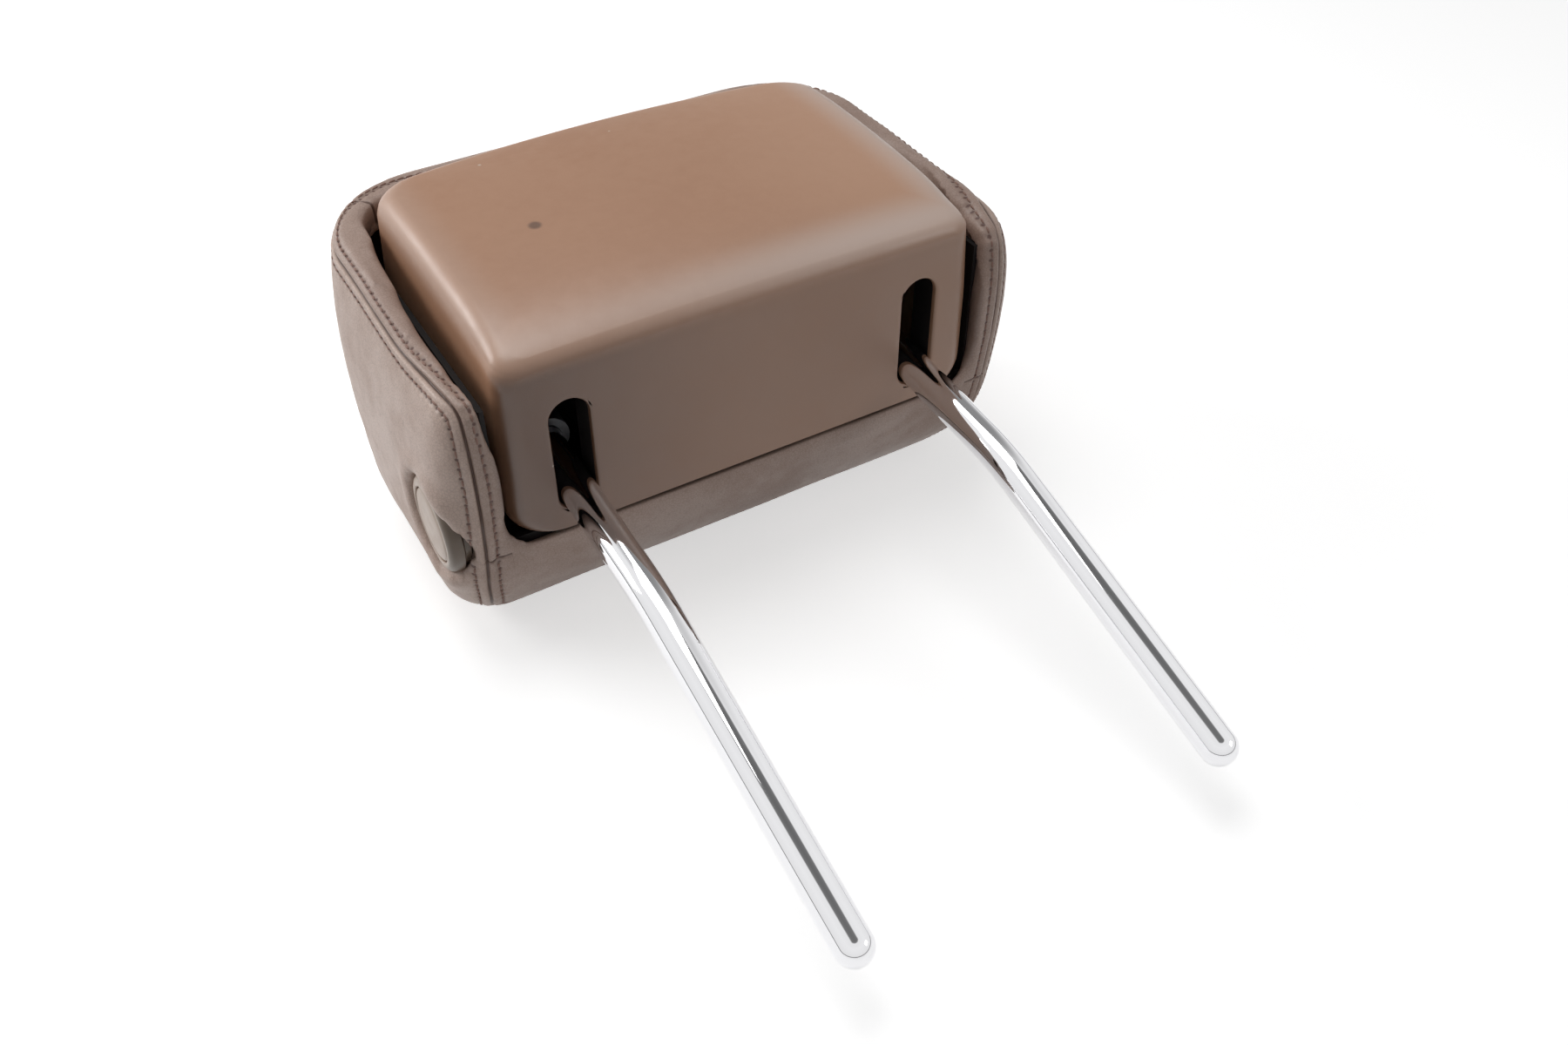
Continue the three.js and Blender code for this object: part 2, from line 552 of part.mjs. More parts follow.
function circleAround(centre, direction, radius, sides) {
  const across = new THREE.Vector3(1, 0, 0);
  const up = new THREE.Vector3().crossVectors(direction, across);
  return Array.from({ length: sides }, (_, i) => {
    const turn = (2 * Math.PI * i) / sides;
    return centre.clone().addScaledVector(across, radius * Math.cos(turn)).addScaledVector(up, radius * Math.sin(turn));
  });
}

const LOWER_ANGLE = THREE.MathUtils.degToRad(POST_LOWER_SLOPE);
const UPPER_ANGLE = THREE.MathUtils.degToRad(POST_UPPER_SLOPE);
const runDirection = (angle) => new THREE.Vector3(0, Math.cos(angle), Math.sin(angle));
const POST_TIP = new THREE.Vector3(0, TIP_Y + POST_RADIUS, POST_TIP_HEIGHT);

// Stations [centre, direction] from the tip's centre to the cross tube.
function postStations(start) {
  const cornerY = (SLOT_FIRST_HEIGHT - UPPER_TAN * FACE_Y - POST_TIP.z + LOWER_TAN * POST_TIP.y) / (LOWER_TAN - UPPER_TAN);
  const corner = new THREE.Vector3(0, cornerY, postHeightAt(cornerY));
  const lower = runDirection(LOWER_ANGLE);
  const upper = runDirection(UPPER_ANGLE);
  const setback = POST_BEND_RADIUS * Math.tan((LOWER_ANGLE - UPPER_ANGLE) / 2);
  const bendStart = corner.clone().addScaledVector(lower, -setback);
  const inward = new THREE.Vector3(0, Math.sin(LOWER_ANGLE), -Math.cos(LOWER_ANGLE));
  const centre = bendStart.clone().addScaledVector(inward, POST_BEND_RADIUS);
  const stations = [[POST_TIP.clone().addScaledVector(lower, start), lower]];
  const bends = 5;
  for (let i = 0; i <= bends; i++) {
    const angle = THREE.MathUtils.lerp(LOWER_ANGLE, UPPER_ANGLE, i / bends);
    const outward = new THREE.Vector3(0, -Math.sin(angle), Math.cos(angle));
    stations.push([centre.clone().addScaledVector(outward, POST_BEND_RADIUS), runDirection(angle)]);
  }
  stations.push([new THREE.Vector3(0, CROSS_Y, CROSS_Z), upper]);
  return stations;
}

function post() {
  const sides = 24;
  const lower = runDirection(LOWER_ANGLE);
  const roundEnd = [12, 30, 48, 66, 80].map((degrees) => {
    const turn = THREE.MathUtils.degToRad(degrees);
    const back = POST_TIP.clone().addScaledVector(lower, -POST_RADIUS * Math.cos(turn));
    return circleAround(back, lower, POST_RADIUS * Math.sin(turn), sides);
  });
  const tube = postStations(0).map(([centre, direction]) => circleAround(centre, direction, POST_RADIUS, sides));
  const apex = POST_TIP.clone().addScaledVector(lower, -POST_RADIUS);
  const bore = postStations(POST_SOLID_END).map(([centre, direction]) =>
    circleAround(centre, direction, POST_BORE / 2, 16));
  const boreEnd = new THREE.Vector3(0, CROSS_Y, CROSS_Z).addScaledVector(runDirection(UPPER_ANGLE), 5);
  bore.push(circleAround(boreEnd, runDirection(UPPER_ANGLE), POST_BORE / 2, 16));
  const saddle = rod('x', CROSS_TUBE_RADIUS + SEAT_GAP, -20, 20, CROSS_Y, CROSS_Z, 32);
  return cut(loft([...roundEnd, ...tube], apex), loft(bore), saddle);
}

function crossTube() {
  const half = POST_X + POST_RADIUS + 1;
  const inner = CROSS_TUBE_RADIUS - CROSS_TUBE_WALL;
  return turnedAlongX([[inner, -half], [CROSS_TUBE_RADIUS - 0.6, -half], [CROSS_TUBE_RADIUS, -half + 0.6],
    [CROSS_TUBE_RADIUS, half - 0.6], [CROSS_TUBE_RADIUS - 0.6, half], [inner, half], [inner, -half]], 32);
}

// Rails and bridge

const RAIL_TOP = BRIDGE_HEIGHT + BRIDGE_THICKNESS + 4.5;
const RAIL_NECK = RAIL_RADIUS - 1;

function rail() {
  return turnedAlongZ([[0, PAN_FLOOR_TOP + SEAT_GAP], [RAIL_RADIUS, PAN_FLOOR_TOP + SEAT_GAP],
    [RAIL_RADIUS, BRIDGE_HEIGHT - SEAT_GAP], [RAIL_NECK, BRIDGE_HEIGHT - SEAT_GAP],
    [RAIL_NECK, RAIL_TOP - 0.6], [RAIL_NECK - 0.6, RAIL_TOP], [0, RAIL_TOP]], 24);
}

// A plate with round corners, flat in X and Y.
function plate(halfX, y0, y1, corner, z0, z1) {
  const shape = new THREE.Shape();
  shape.absarc(halfX - corner, y0 + corner, corner, -Math.PI / 2, 0, false);
  shape.absarc(halfX - corner, y1 - corner, corner, 0, Math.PI / 2, false);
  shape.absarc(-halfX + corner, y1 - corner, corner, Math.PI / 2, Math.PI, false);
  shape.absarc(-halfX + corner, y0 + corner, corner, Math.PI, 1.5 * Math.PI, false);
  const geometry = new THREE.ExtrudeGeometry(shape, { depth: z1 - z0, bevelEnabled: false, curveSegments: 5 });
  return geometry.translate(0, 0, z0);
}

function railBridge() {
  const holes = BOTH_SIDES.map((side) =>
    rod('z', RAIL_NECK + SEAT_GAP, 0, ABOVE_ALL, side * RAIL_HALF_SPACING, RAIL_Y, 16));
  const body = plate(RAIL_HALF_SPACING + 12, RAIL_Y - 11, RAIL_Y + 11, 6, BRIDGE_HEIGHT, BRIDGE_HEIGHT + BRIDGE_THICKNESS);
  const window = plate(RAIL_HALF_SPACING - 14, RAIL_Y - 5, RAIL_Y + 5, 3, 0, ABOVE_ALL);
  return cut(body, ...holes, window);
}

function railNut() {
  const z0 = BRIDGE_HEIGHT + BRIDGE_THICKNESS + SEAT_GAP;
  return cut(rod('z', 5, z0, z0 + 3, 0, 0, 6), rod('z', RAIL_NECK + SEAT_GAP, 0, ABOVE_ALL, 0, 0, 16));
}

// Carriage: block and cap that clamp the cross tube and run on the rails

const CARRIAGE_LOW = PAN_FLOOR_TOP + SOCKET_HEIGHT + 0.5;
const CARRIAGE_HALF = 62;
const CAP_HALF = 50;
const CAP_HEIGHT = 13.5;
const CAP_SCREW_RADIUS = 1.5;
const CAP_SCREW_HEAD = 3;
const CAP_LOW_Y = CROSS_Y - 17;
const CAP_HIGH_Y = RAIL_Y - TOWER_RADIUS - 1;
const CAP_SCREWS = [[-30, CROSS_Y - 12.6], [30, CROSS_Y - 12.6], [-30, CROSS_Y + 13.2], [30, CROSS_Y + 13.2]];
const BUSH_OUTER = RAIL_RADIUS + SEAT_GAP + BUSH_WALL;
const saddle = () => rod('x', CROSS_TUBE_RADIUS + SEAT_GAP, -90, 90, CROSS_Y, CROSS_Z, 32);

function carriageBlock() {
  const body = plate(CARRIAGE_HALF, CAP_LOW_Y, RAIL_Y + 11, 6, CARRIAGE_LOW, CROSS_Z - SEAT_GAP);
  const window = plate(RAIL_HALF_SPACING - 16, RAIL_Y - 7, RAIL_Y + 5, 3, 0, ABOVE_ALL);
  const towers = BOTH_SIDES.map((side) =>
    rod('z', TOWER_RADIUS, CARRIAGE_LOW + 1, TOWER_TOP, side * RAIL_HALF_SPACING, RAIL_Y));
  const bores = BOTH_SIDES.map((side) =>
    rod('z', BUSH_OUTER + SEAT_GAP, 0, ABOVE_ALL, side * RAIL_HALF_SPACING, RAIL_Y));
  const threads = CAP_SCREWS.map(([x, y]) => rod('z', CAP_SCREW_RADIUS + SEAT_GAP, CARRIAGE_LOW + 4, ABOVE_ALL, x, y, 12));
  return cut(join(body, ...towers), saddle(), window, ...bores, ...threads);
}

function carriageCap() {
  const body = plate(CAP_HALF, CAP_LOW_Y, CAP_HIGH_Y, 4, CROSS_Z + SEAT_GAP, CROSS_Z + CAP_HEIGHT);
  const holes = CAP_SCREWS.map(([x, y]) => rod('z', CAP_SCREW_RADIUS + SEAT_GAP, 0, ABOVE_ALL, x, y, 12));
  return cut(body, saddle(), ...holes);
}

function capScrew() {
  const seat = CROSS_Z + CAP_HEIGHT + SEAT_GAP;
  return turnedAlongZ([[0, CARRIAGE_LOW + 5.5], [CAP_SCREW_RADIUS, CARRIAGE_LOW + 6.5], [CAP_SCREW_RADIUS, seat],
    [CAP_SCREW_HEAD, seat], [CAP_SCREW_HEAD, seat + 2], [CAP_SCREW_HEAD - 0.6, seat + 2.6], [0, seat + 2.6]], 12);
}

function railBush() {
  const inner = RAIL_RADIUS + SEAT_GAP;
  const low = CARRIAGE_LOW + SEAT_GAP;
  const seat = TOWER_TOP + SEAT_GAP;
  return turnedAlongZ([[inner, low], [BUSH_OUTER, low], [BUSH_OUTER, seat], [TOWER_RADIUS - 1, seat],
    [TOWER_RADIUS - 1, seat + 1.5], [inner, seat + 1.5], [inner, low]], 24);
}

// Lock: a notched rack clamped to the left post, and a slider whose pin sits in one notch

const SLIDER_Y = [BUTTON_Y - SLIDER_THICKNESS / 2, BUTTON_Y + SLIDER_THICKNESS / 2];
const RACK_Y = [SLIDER_Y[1] + 0.9, SLIDER_Y[1] + 4.9];
const PIN_END_Y = RACK_Y[1] + 0.3;
const CLAMP_Y = [PIN_END_Y + 1, PIN_END_Y + 11];
const LOCK_PIN_X = RACK_TIP_X - 1;
const RACK_BACK_X = RACK_TIP_X - RACK_DEPTH;
const NOTCH_RADIUS = LOCK_PIN_RADIUS + SEAT_GAP;

function alongPost(radius, y0, y1, sides = 24) {
  const middle = (y0 + y1) / 2;
  return new THREE.CylinderGeometry(radius, radius, y1 - y0, sides)
    .rotateX(UPPER_ANGLE)
    .translate(-POST_X, middle, postHeightAt(middle));
}

function lockRack() {
  const low = LOCK_PIN_HEIGHT - SLIDE_TRAVEL - 4;
  const high = LOCK_PIN_HEIGHT + 5;
  const strip = box(RACK_BACK_X, RACK_TIP_X, ...RACK_Y, low, high);
  const notches = Array.from({ length: LOCK_POSITIONS }, (_, i) => {
    const z = LOCK_PIN_HEIGHT - i * NOTCH_PITCH;
    const bottom = RACK_TIP_X - NOTCH_DEPTH + NOTCH_RADIUS;
    return join(
      rod('y', NOTCH_RADIUS, RACK_Y[0] - 1, RACK_Y[1] + 1, bottom, z, 16),
      box(bottom, RACK_TIP_X + 1, RACK_Y[0] - 1, RACK_Y[1] + 1, z - NOTCH_RADIUS, z + NOTCH_RADIUS));
  });
  const clampZ = postHeightAt(CLAMP_Y[0]);
  const flange = box(RACK_BACK_X, RACK_BACK_X + 2.1, RACK_Y[0], CLAMP_Y[1], clampZ - 9, clampZ + 10);
  const arm = box(RACK_BACK_X, -POST_X - POST_RADIUS - 1, ...CLAMP_Y, clampZ - 5, clampZ + 6);
  const ring = alongPost(POST_RADIUS + 3.5, ...CLAMP_Y);
  const hole = alongPost(POST_RADIUS + SEAT_GAP, CLAMP_Y[0] - 5, CLAMP_Y[1] + 5, 28);
  const setScrew = rod('z', 2, clampZ, ABOVE_ALL, -POST_X, (CLAMP_Y[0] + CLAMP_Y[1]) / 2, 12);
  return cut(join(cut(strip, ...notches), flange, arm, ring), hole, setScrew);
}

function rackSetScrew() {
  const y = (CLAMP_Y[0] + CLAMP_Y[1]) / 2;
  const low = postHeightAt(y) + POST_RADIUS + SEAT_GAP + 0.1;
  return rod('z', 1.7, low, low + 5, -POST_X, y, 12);
}

function lockSlider() {
  const right = LOCK_PIN_X + LOCK_PIN_RADIUS + 1.3;
  const left = RACK_BACK_X - 2;
  const tongue = RACK_BACK_X - BUTTON_TRAVEL - 1.5;
  const low = BUTTON_HEIGHT - STEM_RADIUS;
  const high = LOCK_PIN_HEIGHT + 4;
  const outline = [[tongue, low], [right, low], [right, high], [left + 3.5, high], [left, high - 4],
    [left, BUTTON_HEIGHT + 6], [tongue, BUTTON_HEIGHT + STEM_RADIUS]];
  const shape = new THREE.Shape(outline.map(([x, z]) => new THREE.Vector2(x, z)));
  const blade = raiseAlongY(shape, ...SLIDER_Y);
  const stem = rod('x', STEM_RADIUS, -BUTTON_FACE + 4.9, tongue + 1, BUTTON_Y, BUTTON_HEIGHT, 16);
  const pinHole = rod('y', LOCK_PIN_RADIUS + SEAT_GAP, SLIDER_Y[0] - 1, SLIDER_Y[1] + 1, LOCK_PIN_X, LOCK_PIN_HEIGHT, 16);
  return cut(join(blade, stem), pinHole);
}

const lockPin = () => rod('y', LOCK_PIN_RADIUS, SLIDER_Y[0], PIN_END_Y, LOCK_PIN_X, LOCK_PIN_HEIGHT, 16);

// Bracket on the pan's floor that backs the slider's blade. Its foot lies behind the slot's sleeve.
function sliderGuide() {
  const floor = PAN_FLOOR_TOP + SEAT_GAP;
  const foot = floor + 2.2;
  const y1 = SLIDER_Y[0] - SEAT_GAP;
  const outer = RACK_BACK_X - 2;
  const inner = LOCK_PIN_X + LOCK_PIN_RADIUS + 1.3;
  const footEnd = inner + 14.6;
  const outline = [[outer + 10, floor], [footEnd, floor], [footEnd, foot], [inner + 6.6, foot], [inner + 6.6, foot + 4.5],
    [inner, foot + 7.5], [inner, LOCK_PIN_HEIGHT - 6], [outer, LOCK_PIN_HEIGHT - 6],
    [outer, BUTTON_HEIGHT + STEM_RADIUS + 3.3], [outer + 10, foot + 4.5]];
  const shape = new THREE.Shape(outline.map(([x, z]) => new THREE.Vector2(x, z)));
  const footY = FACE_Y + COVER_WALL + SEAT_GAP + LINER_DEPTH + 0.6;
  return join(raiseAlongY(shape, y1 - 3, y1), box(outer + 10, footEnd, footY, y1 - 1, floor, foot));
}

function stemBush() {
  const inner = STEM_RADIUS + SEAT_GAP;
  const wall = PAN_OUTER - PAN_WALL;
  return turnedAlongX([[inner, -PAN_OUTER - 1.2], [STEM_BUSH_OUTER, -PAN_OUTER - 1.2], [STEM_BUSH_OUTER, -wall + SEAT_GAP],
    [STEM_BUSH_OUTER + 1, -wall + SEAT_GAP], [STEM_BUSH_OUTER + 1, -wall + 1.6], [inner, -wall + 1.6],
    [inner, -PAN_OUTER - 1.2]], 24);
}

// Release button: a shallow round cap in a bevelled bezel on the left side

const HUB_RADIUS = SHANK_RADIUS - SHANK_WALL - 1;
const HUB_LENGTH = 5.5;
const BUTTON_THICKNESS = 4.1;

function releaseButton() {
  const face = -BUTTON_FACE;
  const back = face + BUTTON_THICKNESS;
  const hole = STEM_RADIUS + SEAT_GAP;
  return turnedAlongX([[0, face], [9, face + 0.15], [13.4, face + 0.7], [BUTTON_RADIUS, face + 1.8],
    [BUTTON_RADIUS, back], [HUB_RADIUS, back], [HUB_RADIUS, back + HUB_LENGTH], [hole, back + HUB_LENGTH],
    [hole, back + 0.5], [0, back + 0.5]], 40);
}

function buttonBezel() {
  const face = -BUTTON_FACE + 0.3;
  const inner = BUTTON_RADIUS + SEAT_GAP;
  const floor = -BUTTON_FACE + BUTTON_THICKNESS + BUTTON_TRAVEL + 0.4;
  const shankEnd = -POCKET_HALF_WIDTH - LEATHER - SEAT_GAP;
  const shankInner = SHANK_RADIUS - SHANK_WALL;
  return turnedAlongX([[inner, face], [inner + 0.9, face], [BEZEL_RADIUS, face + 2.9], [BEZEL_RADIUS, face + 6],
    [BEZEL_RADIUS - 2, face + 7], [BEZEL_RADIUS - 2, -BEZEL_BACK], [SHANK_RADIUS, -BEZEL_BACK],
    [SHANK_RADIUS, shankEnd], [shankInner, shankEnd], [shankInner, floor], [inner, floor], [inner, face]], 40);
}

class SpringCoil extends THREE.Curve {
  getPoint(t, target = new THREE.Vector3()) {
    const low = -PAN_OUTER - SEAT_GAP - SPRING_WIRE;
    const high = -BUTTON_FACE + BUTTON_THICKNESS + HUB_LENGTH + SEAT_GAP + SPRING_WIRE;
    const turn = 2 * Math.PI * SPRING_TURNS * t;
    return target.set(
      THREE.MathUtils.lerp(low, high, t),
      BUTTON_Y + SPRING_RADIUS * Math.cos(turn),
      BUTTON_HEIGHT + SPRING_RADIUS * Math.sin(turn));
  }
}

function returnSpring() {
  const wire = new THREE.Shape();
  wire.absarc(0, 0, SPRING_WIRE, 0, 2 * Math.PI, false);
  return new THREE.ExtrudeGeometry(wire, {
    steps: 11 * SPRING_TURNS, extrudePath: new SpringCoil(), bevelEnabled: false, curveSegments: 4,
  });
}

// Materials

const finish = (color, roughness, metalness) => new THREE.MeshStandardMaterial({ color, roughness, metalness });
const LEATHER_FINISH = () => finish(0xb3a094, 0.6, 0);
const COVER_FINISH = () => finish(0xa2816c, 0.55, 0);
const FOAM_FINISH = () => finish(0xd8d2be, 0.95, 0);
const BLACK_FINISH = () => finish(0x1c1b1d, 0.6, 0);
const CHROME_FINISH = () => finish(0xd9dadc, 0.12, 1);
const STEEL_FINISH = () => finish(0x9a9c9f, 0.4, 1);

// Assembly

function piece(name, geometry, material, x = 0, y = 0, z = 0) {
  const mesh = new THREE.Mesh(geometry, material);
  mesh.name = name;
  mesh.position.set(x, y, z);
  return mesh;
}

const sideName = (side) => (side < 0 ? 'left' : 'right');

function headGroup() {
  const head = new THREE.Group();
  head.add(piece('foam_core', foamCore(), FOAM_FINISH()));
  for (const [name, geometry] of Object.entries(leatherPanels())) head.add(piece(name, geometry, LEATHER_FINISH()));
  head.add(piece('inner_pan', innerPan(), BLACK_FINISH()));
  head.add(piece('rear_cover', rearCover(), COVER_FINISH()));
  head.add(piece('rail_bridge', railBridge(), STEEL_FINISH()));
  for (const side of BOTH_SIDES) {
    const railX = side * RAIL_HALF_SPACING;
    head.add(piece(`slot_liner_${sideName(side)}`, slotLiner(), BLACK_FINISH(), side * POST_X));
    head.add(piece(`rail_${sideName(side)}`, rail(), STEEL_FINISH(), railX, RAIL_Y));
    head.add(piece(`rail_nut_${sideName(side)}`, railNut(), STEEL_FINISH(), railX, RAIL_Y));
  }
  BOSS_PLACES.forEach(([x, dy], i) => {
    head.add(piece(`cover_screw_${i + 1}`, coverScrew(), STEEL_FINISH(), x, FACE_Y + dy));
  });
  head.add(piece('button_bezel', buttonBezel(), COVER_FINISH(), 0, BUTTON_Y, BUTTON_HEIGHT));
  head.add(piece('stem_bush', stemBush(), BLACK_FINISH(), 0, BUTTON_Y, BUTTON_HEIGHT));
  head.add(piece('slider_guide', sliderGuide(), STEEL_FINISH()));
  return head;
}

function postCarriageGroup() {
  const carriage = new THREE.Group();
  for (const side of BOTH_SIDES) {
    carriage.add(piece(`${sideName(side)}_post`, post(), CHROME_FINISH(), side * POST_X));
    carriage.add(piece(`rail_bush_${sideName(side)}`, railBush(), BLACK_FINISH(), side * RAIL_HALF_SPACING, RAIL_Y));
  }
  carriage.add(piece('cross_tube', crossTube(), CHROME_FINISH(), 0, CROSS_Y, CROSS_Z));
  carriage.add(piece('carriage_block', carriageBlock(), BLACK_FINISH()));
  carriage.add(piece('carriage_cap', carriageCap(), BLACK_FINISH()));
  CAP_SCREWS.forEach(([x, y], i) => carriage.add(piece(`cap_screw_${i + 1}`, capScrew(), STEEL_FINISH(), x, y)));
  carriage.add(piece('lock_rack', lockRack(), STEEL_FINISH()));
  carriage.add(piece('rack_set_screw', rackSetScrew(), STEEL_FINISH()));
  return carriage;
}

function buttonGroup() {
  const button = new THREE.Group();
  button.add(piece('release_button', releaseButton(), COVER_FINISH(), 0, BUTTON_Y, BUTTON_HEIGHT));
  button.add(piece('lock_slider', lockSlider(), STEEL_FINISH()));
  button.add(piece('lock_pin', lockPin(), STEEL_FINISH()));
  button.add(piece('return_spring', returnSpring(), STEEL_FINISH()));
  return button;
}

const headrest = new THREE.Group();
headrest.add(headGroup(), postCarriageGroup(), buttonGroup());

export default headrest;
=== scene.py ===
# %% [markdown]
# Car headrest
#
# A padded head in worn leather lies on its front face, with a moulded cover let into its rear side
# and two chromed posts that point towards the viewer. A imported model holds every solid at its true
# place and size. This lesson loads that model, gives its hidden parts a finish, and makes the parts
# that show again with softer and finer shapes. Sizes are written in millimetres and turned into
# metres at one place, because the sizes of such a part are easier to judge in millimetres.

# %% Load the frame
import json
import math

import bmesh
import bpy
import numpy as np
from mathutils import Matrix, Vector
from mathutils import noise as solid_noise
from mathutils.bvhtree import BVHTree
from mathutils.kdtree import KDTree


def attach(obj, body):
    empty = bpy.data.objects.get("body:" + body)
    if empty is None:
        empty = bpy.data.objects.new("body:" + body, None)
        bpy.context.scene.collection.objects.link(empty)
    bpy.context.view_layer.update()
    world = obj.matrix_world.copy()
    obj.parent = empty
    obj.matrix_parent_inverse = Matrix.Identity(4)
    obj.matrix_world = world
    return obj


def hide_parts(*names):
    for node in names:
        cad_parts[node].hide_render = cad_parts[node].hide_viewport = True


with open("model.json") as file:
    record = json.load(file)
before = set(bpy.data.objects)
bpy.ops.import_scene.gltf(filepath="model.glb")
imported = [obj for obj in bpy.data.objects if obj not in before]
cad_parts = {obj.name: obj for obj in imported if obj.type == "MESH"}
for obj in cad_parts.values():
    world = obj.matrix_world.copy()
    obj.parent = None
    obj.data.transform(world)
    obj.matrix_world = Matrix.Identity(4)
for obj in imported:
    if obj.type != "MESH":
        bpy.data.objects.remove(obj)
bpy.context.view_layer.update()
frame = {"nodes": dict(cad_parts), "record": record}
scene = bpy.context.scene
MM = 0.001

# %% [markdown]
# The camera stands low at the left, in front of the post ends, and looks down on the rear cover.
# Its place was worked out from the two posts, which are parallel and alike. A lens of 33 mm is
# quite wide, so the near post ends look large against the far edge of the head.

# %% Camera
LENS = 32.577
CAMERA_PLACE = (-213.44, -358.52, 415.18)
CAMERA_AZIMUTH, CAMERA_ELEVATION = -30.92, 42.17

camera_data = bpy.data.cameras.new("camera")
camera_data.lens = LENS
camera_data.sensor_width = 36
camera_data.clip_start = 0.01
camera = bpy.data.objects.new("camera", camera_data)
camera.location = Vector(CAMERA_PLACE) * MM
camera.rotation_euler = (math.radians(90 - CAMERA_ELEVATION), 0, math.radians(CAMERA_AZIMUTH))
scene.collection.objects.link(camera)
scene.camera = camera
print("camera at", [round(c, 3) for c in camera.location])

# %% [markdown]
# Every finish is a small net of nodes on the surface's own coordinates, so it looks right from any
# side. Each of these helpers adds one node that is already fed, with numbers or with the outputs of
# other nodes. They come first, because the surround and the floor are nets of nodes too.

# %% Node helpers


def linear(red, green, blue):
    """A colour as seen on a screen, in 0 to 255, as the linear values that nodes use."""
    def one(c):
        c /= 255
        return c / 12.92 if c <= 0.04045 else ((c + 0.055) / 1.055) ** 2.4
    return (one(red), one(green), one(blue), 1)


def feed(tree, socket, value):
    if isinstance(value, bpy.types.NodeSocket):
        tree.links.new(value, socket)
    else:
        socket.default_value = value


def node(tree, kind, **settings):
    """A new node. A setting is one of its inputs, with _ for a space, or else a property."""
    made = tree.nodes.new("ShaderNode" + kind)
    for key, value in settings.items():
        label = key.replace("_", " ")
        if label in made.inputs:
            feed(tree, made.inputs[label], value)
        else:
            setattr(made, key, value)
    return made


def calc(tree, operation, a, b=0.0):
    made = node(tree, "Math", operation=operation)
    feed(tree, made.inputs[0], a)
    feed(tree, made.inputs[1], b)
    return made.outputs[0]


def times(tree, a, b):
    return calc(tree, "MULTIPLY", a, b)


def plus(tree, a, b):
    return calc(tree, "ADD", a, b)


def minus(tree, a, b):
    return calc(tree, "SUBTRACT", a, b)


def highest(tree, first, *others):
    for other in others:
        first = calc(tree, "MAXIMUM", first, other)
    return first


def diagonal(tree, a, b):
    return calc(tree, "SQRT", plus(tree, times(tree, a, a), times(tree, b, b)))


def vector_calc(tree, operation, *values):
    made = node(tree, "VectorMath", operation=operation)
    for socket, value in zip(made.inputs, values):
        feed(tree, socket, value)
    return made.outputs["Value" if operation in ("DOT_PRODUCT", "DISTANCE") else "Vector"]


def axes_of(tree, vector):
    return node(tree, "SeparateXYZ", Vector=vector).outputs


def fade(tree, value, start, end, low=0.0, high=1.0):
    """Goes smoothly from low to high as the value goes from start to end."""
    made = node(tree, "MapRange", interpolation_type="SMOOTHSTEP")
    for socket, wanted in zip(made.inputs[:5], (value, start, end, low, high)):
        feed(tree, socket, wanted)
    return made.outputs[0]


def noise(tree, vector, size_mm, detail=3.0, roughness=0.5):
    scale = 1 / (size_mm * MM)
    made = node(tree, "TexNoise", Vector=vector, Scale=scale, Detail=detail, Roughness=roughness)
    return made.outputs["Fac"]


def mix_colour(tree, factor, first, second, blend="MIX"):
    made = node(tree, "Mix", data_type="RGBA", blend_type=blend)
    for index, value in ((0, factor), (6, first), (7, second)):
        feed(tree, made.inputs[index], value)
    return made.outputs[2]


def new_material(name):
    material = bpy.data.materials.new(name)
    material.use_nodes = True
    material.node_tree.nodes.clear()
    return material, material.node_tree


def seen_directly(tree):
    """1 for what the camera sees itself, in a mirror or through something clear, and else 0."""
    path = node(tree, "LightPath").outputs
    return highest(tree, path["Is Camera Ray"], path["Is Glossy Ray"], path["Is Transmission Ray"])


print("node helpers ready")

# %% [markdown]
# The studio is a pale floor, a pale surround and three large soft lamps. A large lamp close to the
# object gives soft edges to its shadows. The floor and the surround look white to the camera through
# the Light Path node, so the lamps can stay at a level at which the colours render as written. The
# chrome sees a surround of its own, with dark bands, because a mirror in a white room looks grey.

# %% Surround
WORLD_LIGHT = 0.20
# What the chrome sees, by the sine of the height: pale walls, a dark edge at the horizon and an
# opening overhead. The ramp starts at a sine of -0.1.
SURROUND = [(0.0, 1.0), (0.078, 1.0), (0.088, 0.16), (0.13, 0.22), (0.15, 0.92), (0.70, 1.0),
            (0.93, 0.95), (0.955, 0.22), (1.0, 0.16)]
RAMP_START = -0.1
# One corner of the room is dim. Its edge is given by the cosine to its direction.
FAR_CORNER, FAR_CORNER_EDGE, FAR_CORNER_LEVEL = (0.35, 0.70, 0.62), (0.72, 0.95), 0.3

scene.view_settings.view_transform = "Standard"
world = bpy.data.worlds.new("surround")
scene.world = world
world.use_nodes = True
tree = world.node_tree
tree.nodes.clear()
direction = node(tree, "TexCoord").outputs["Generated"]
level = node(tree, "MapRange", Value=axes_of(tree, direction)["Z"], From_Min=RAMP_START)
bands = node(tree, "ValToRGB", Fac=level.outputs[0])
while len(bands.color_ramp.elements) < len(SURROUND):
    bands.color_ramp.elements.new(0.5)
for element, (place, grey) in zip(bands.color_ramp.elements, SURROUND):
    element.position = place
    element.color = (grey, grey, grey, 1)
towards = vector_calc(tree, "DOT_PRODUCT", direction, Vector(FAR_CORNER).normalized())
dimmed = fade(tree, towards, *FAR_CORNER_EDGE, 1.0, FAR_CORNER_LEVEL)
shaded = mix_colour(tree, 1.0, bands.outputs[0], dimmed, "MULTIPLY")
in_mirror = node(tree, "LightPath").outputs["Is Glossy Ray"]
colour = mix_colour(tree, in_mirror, (1, 1, 1, 1), shaded)
strength = node(tree, "MapRange", Value=seen_directly(tree), To_Min=WORLD_LIGHT)
background = node(tree, "Background", Color=colour, Strength=strength.outputs[0])
node(tree, "OutputWorld", Surface=background.outputs[0])
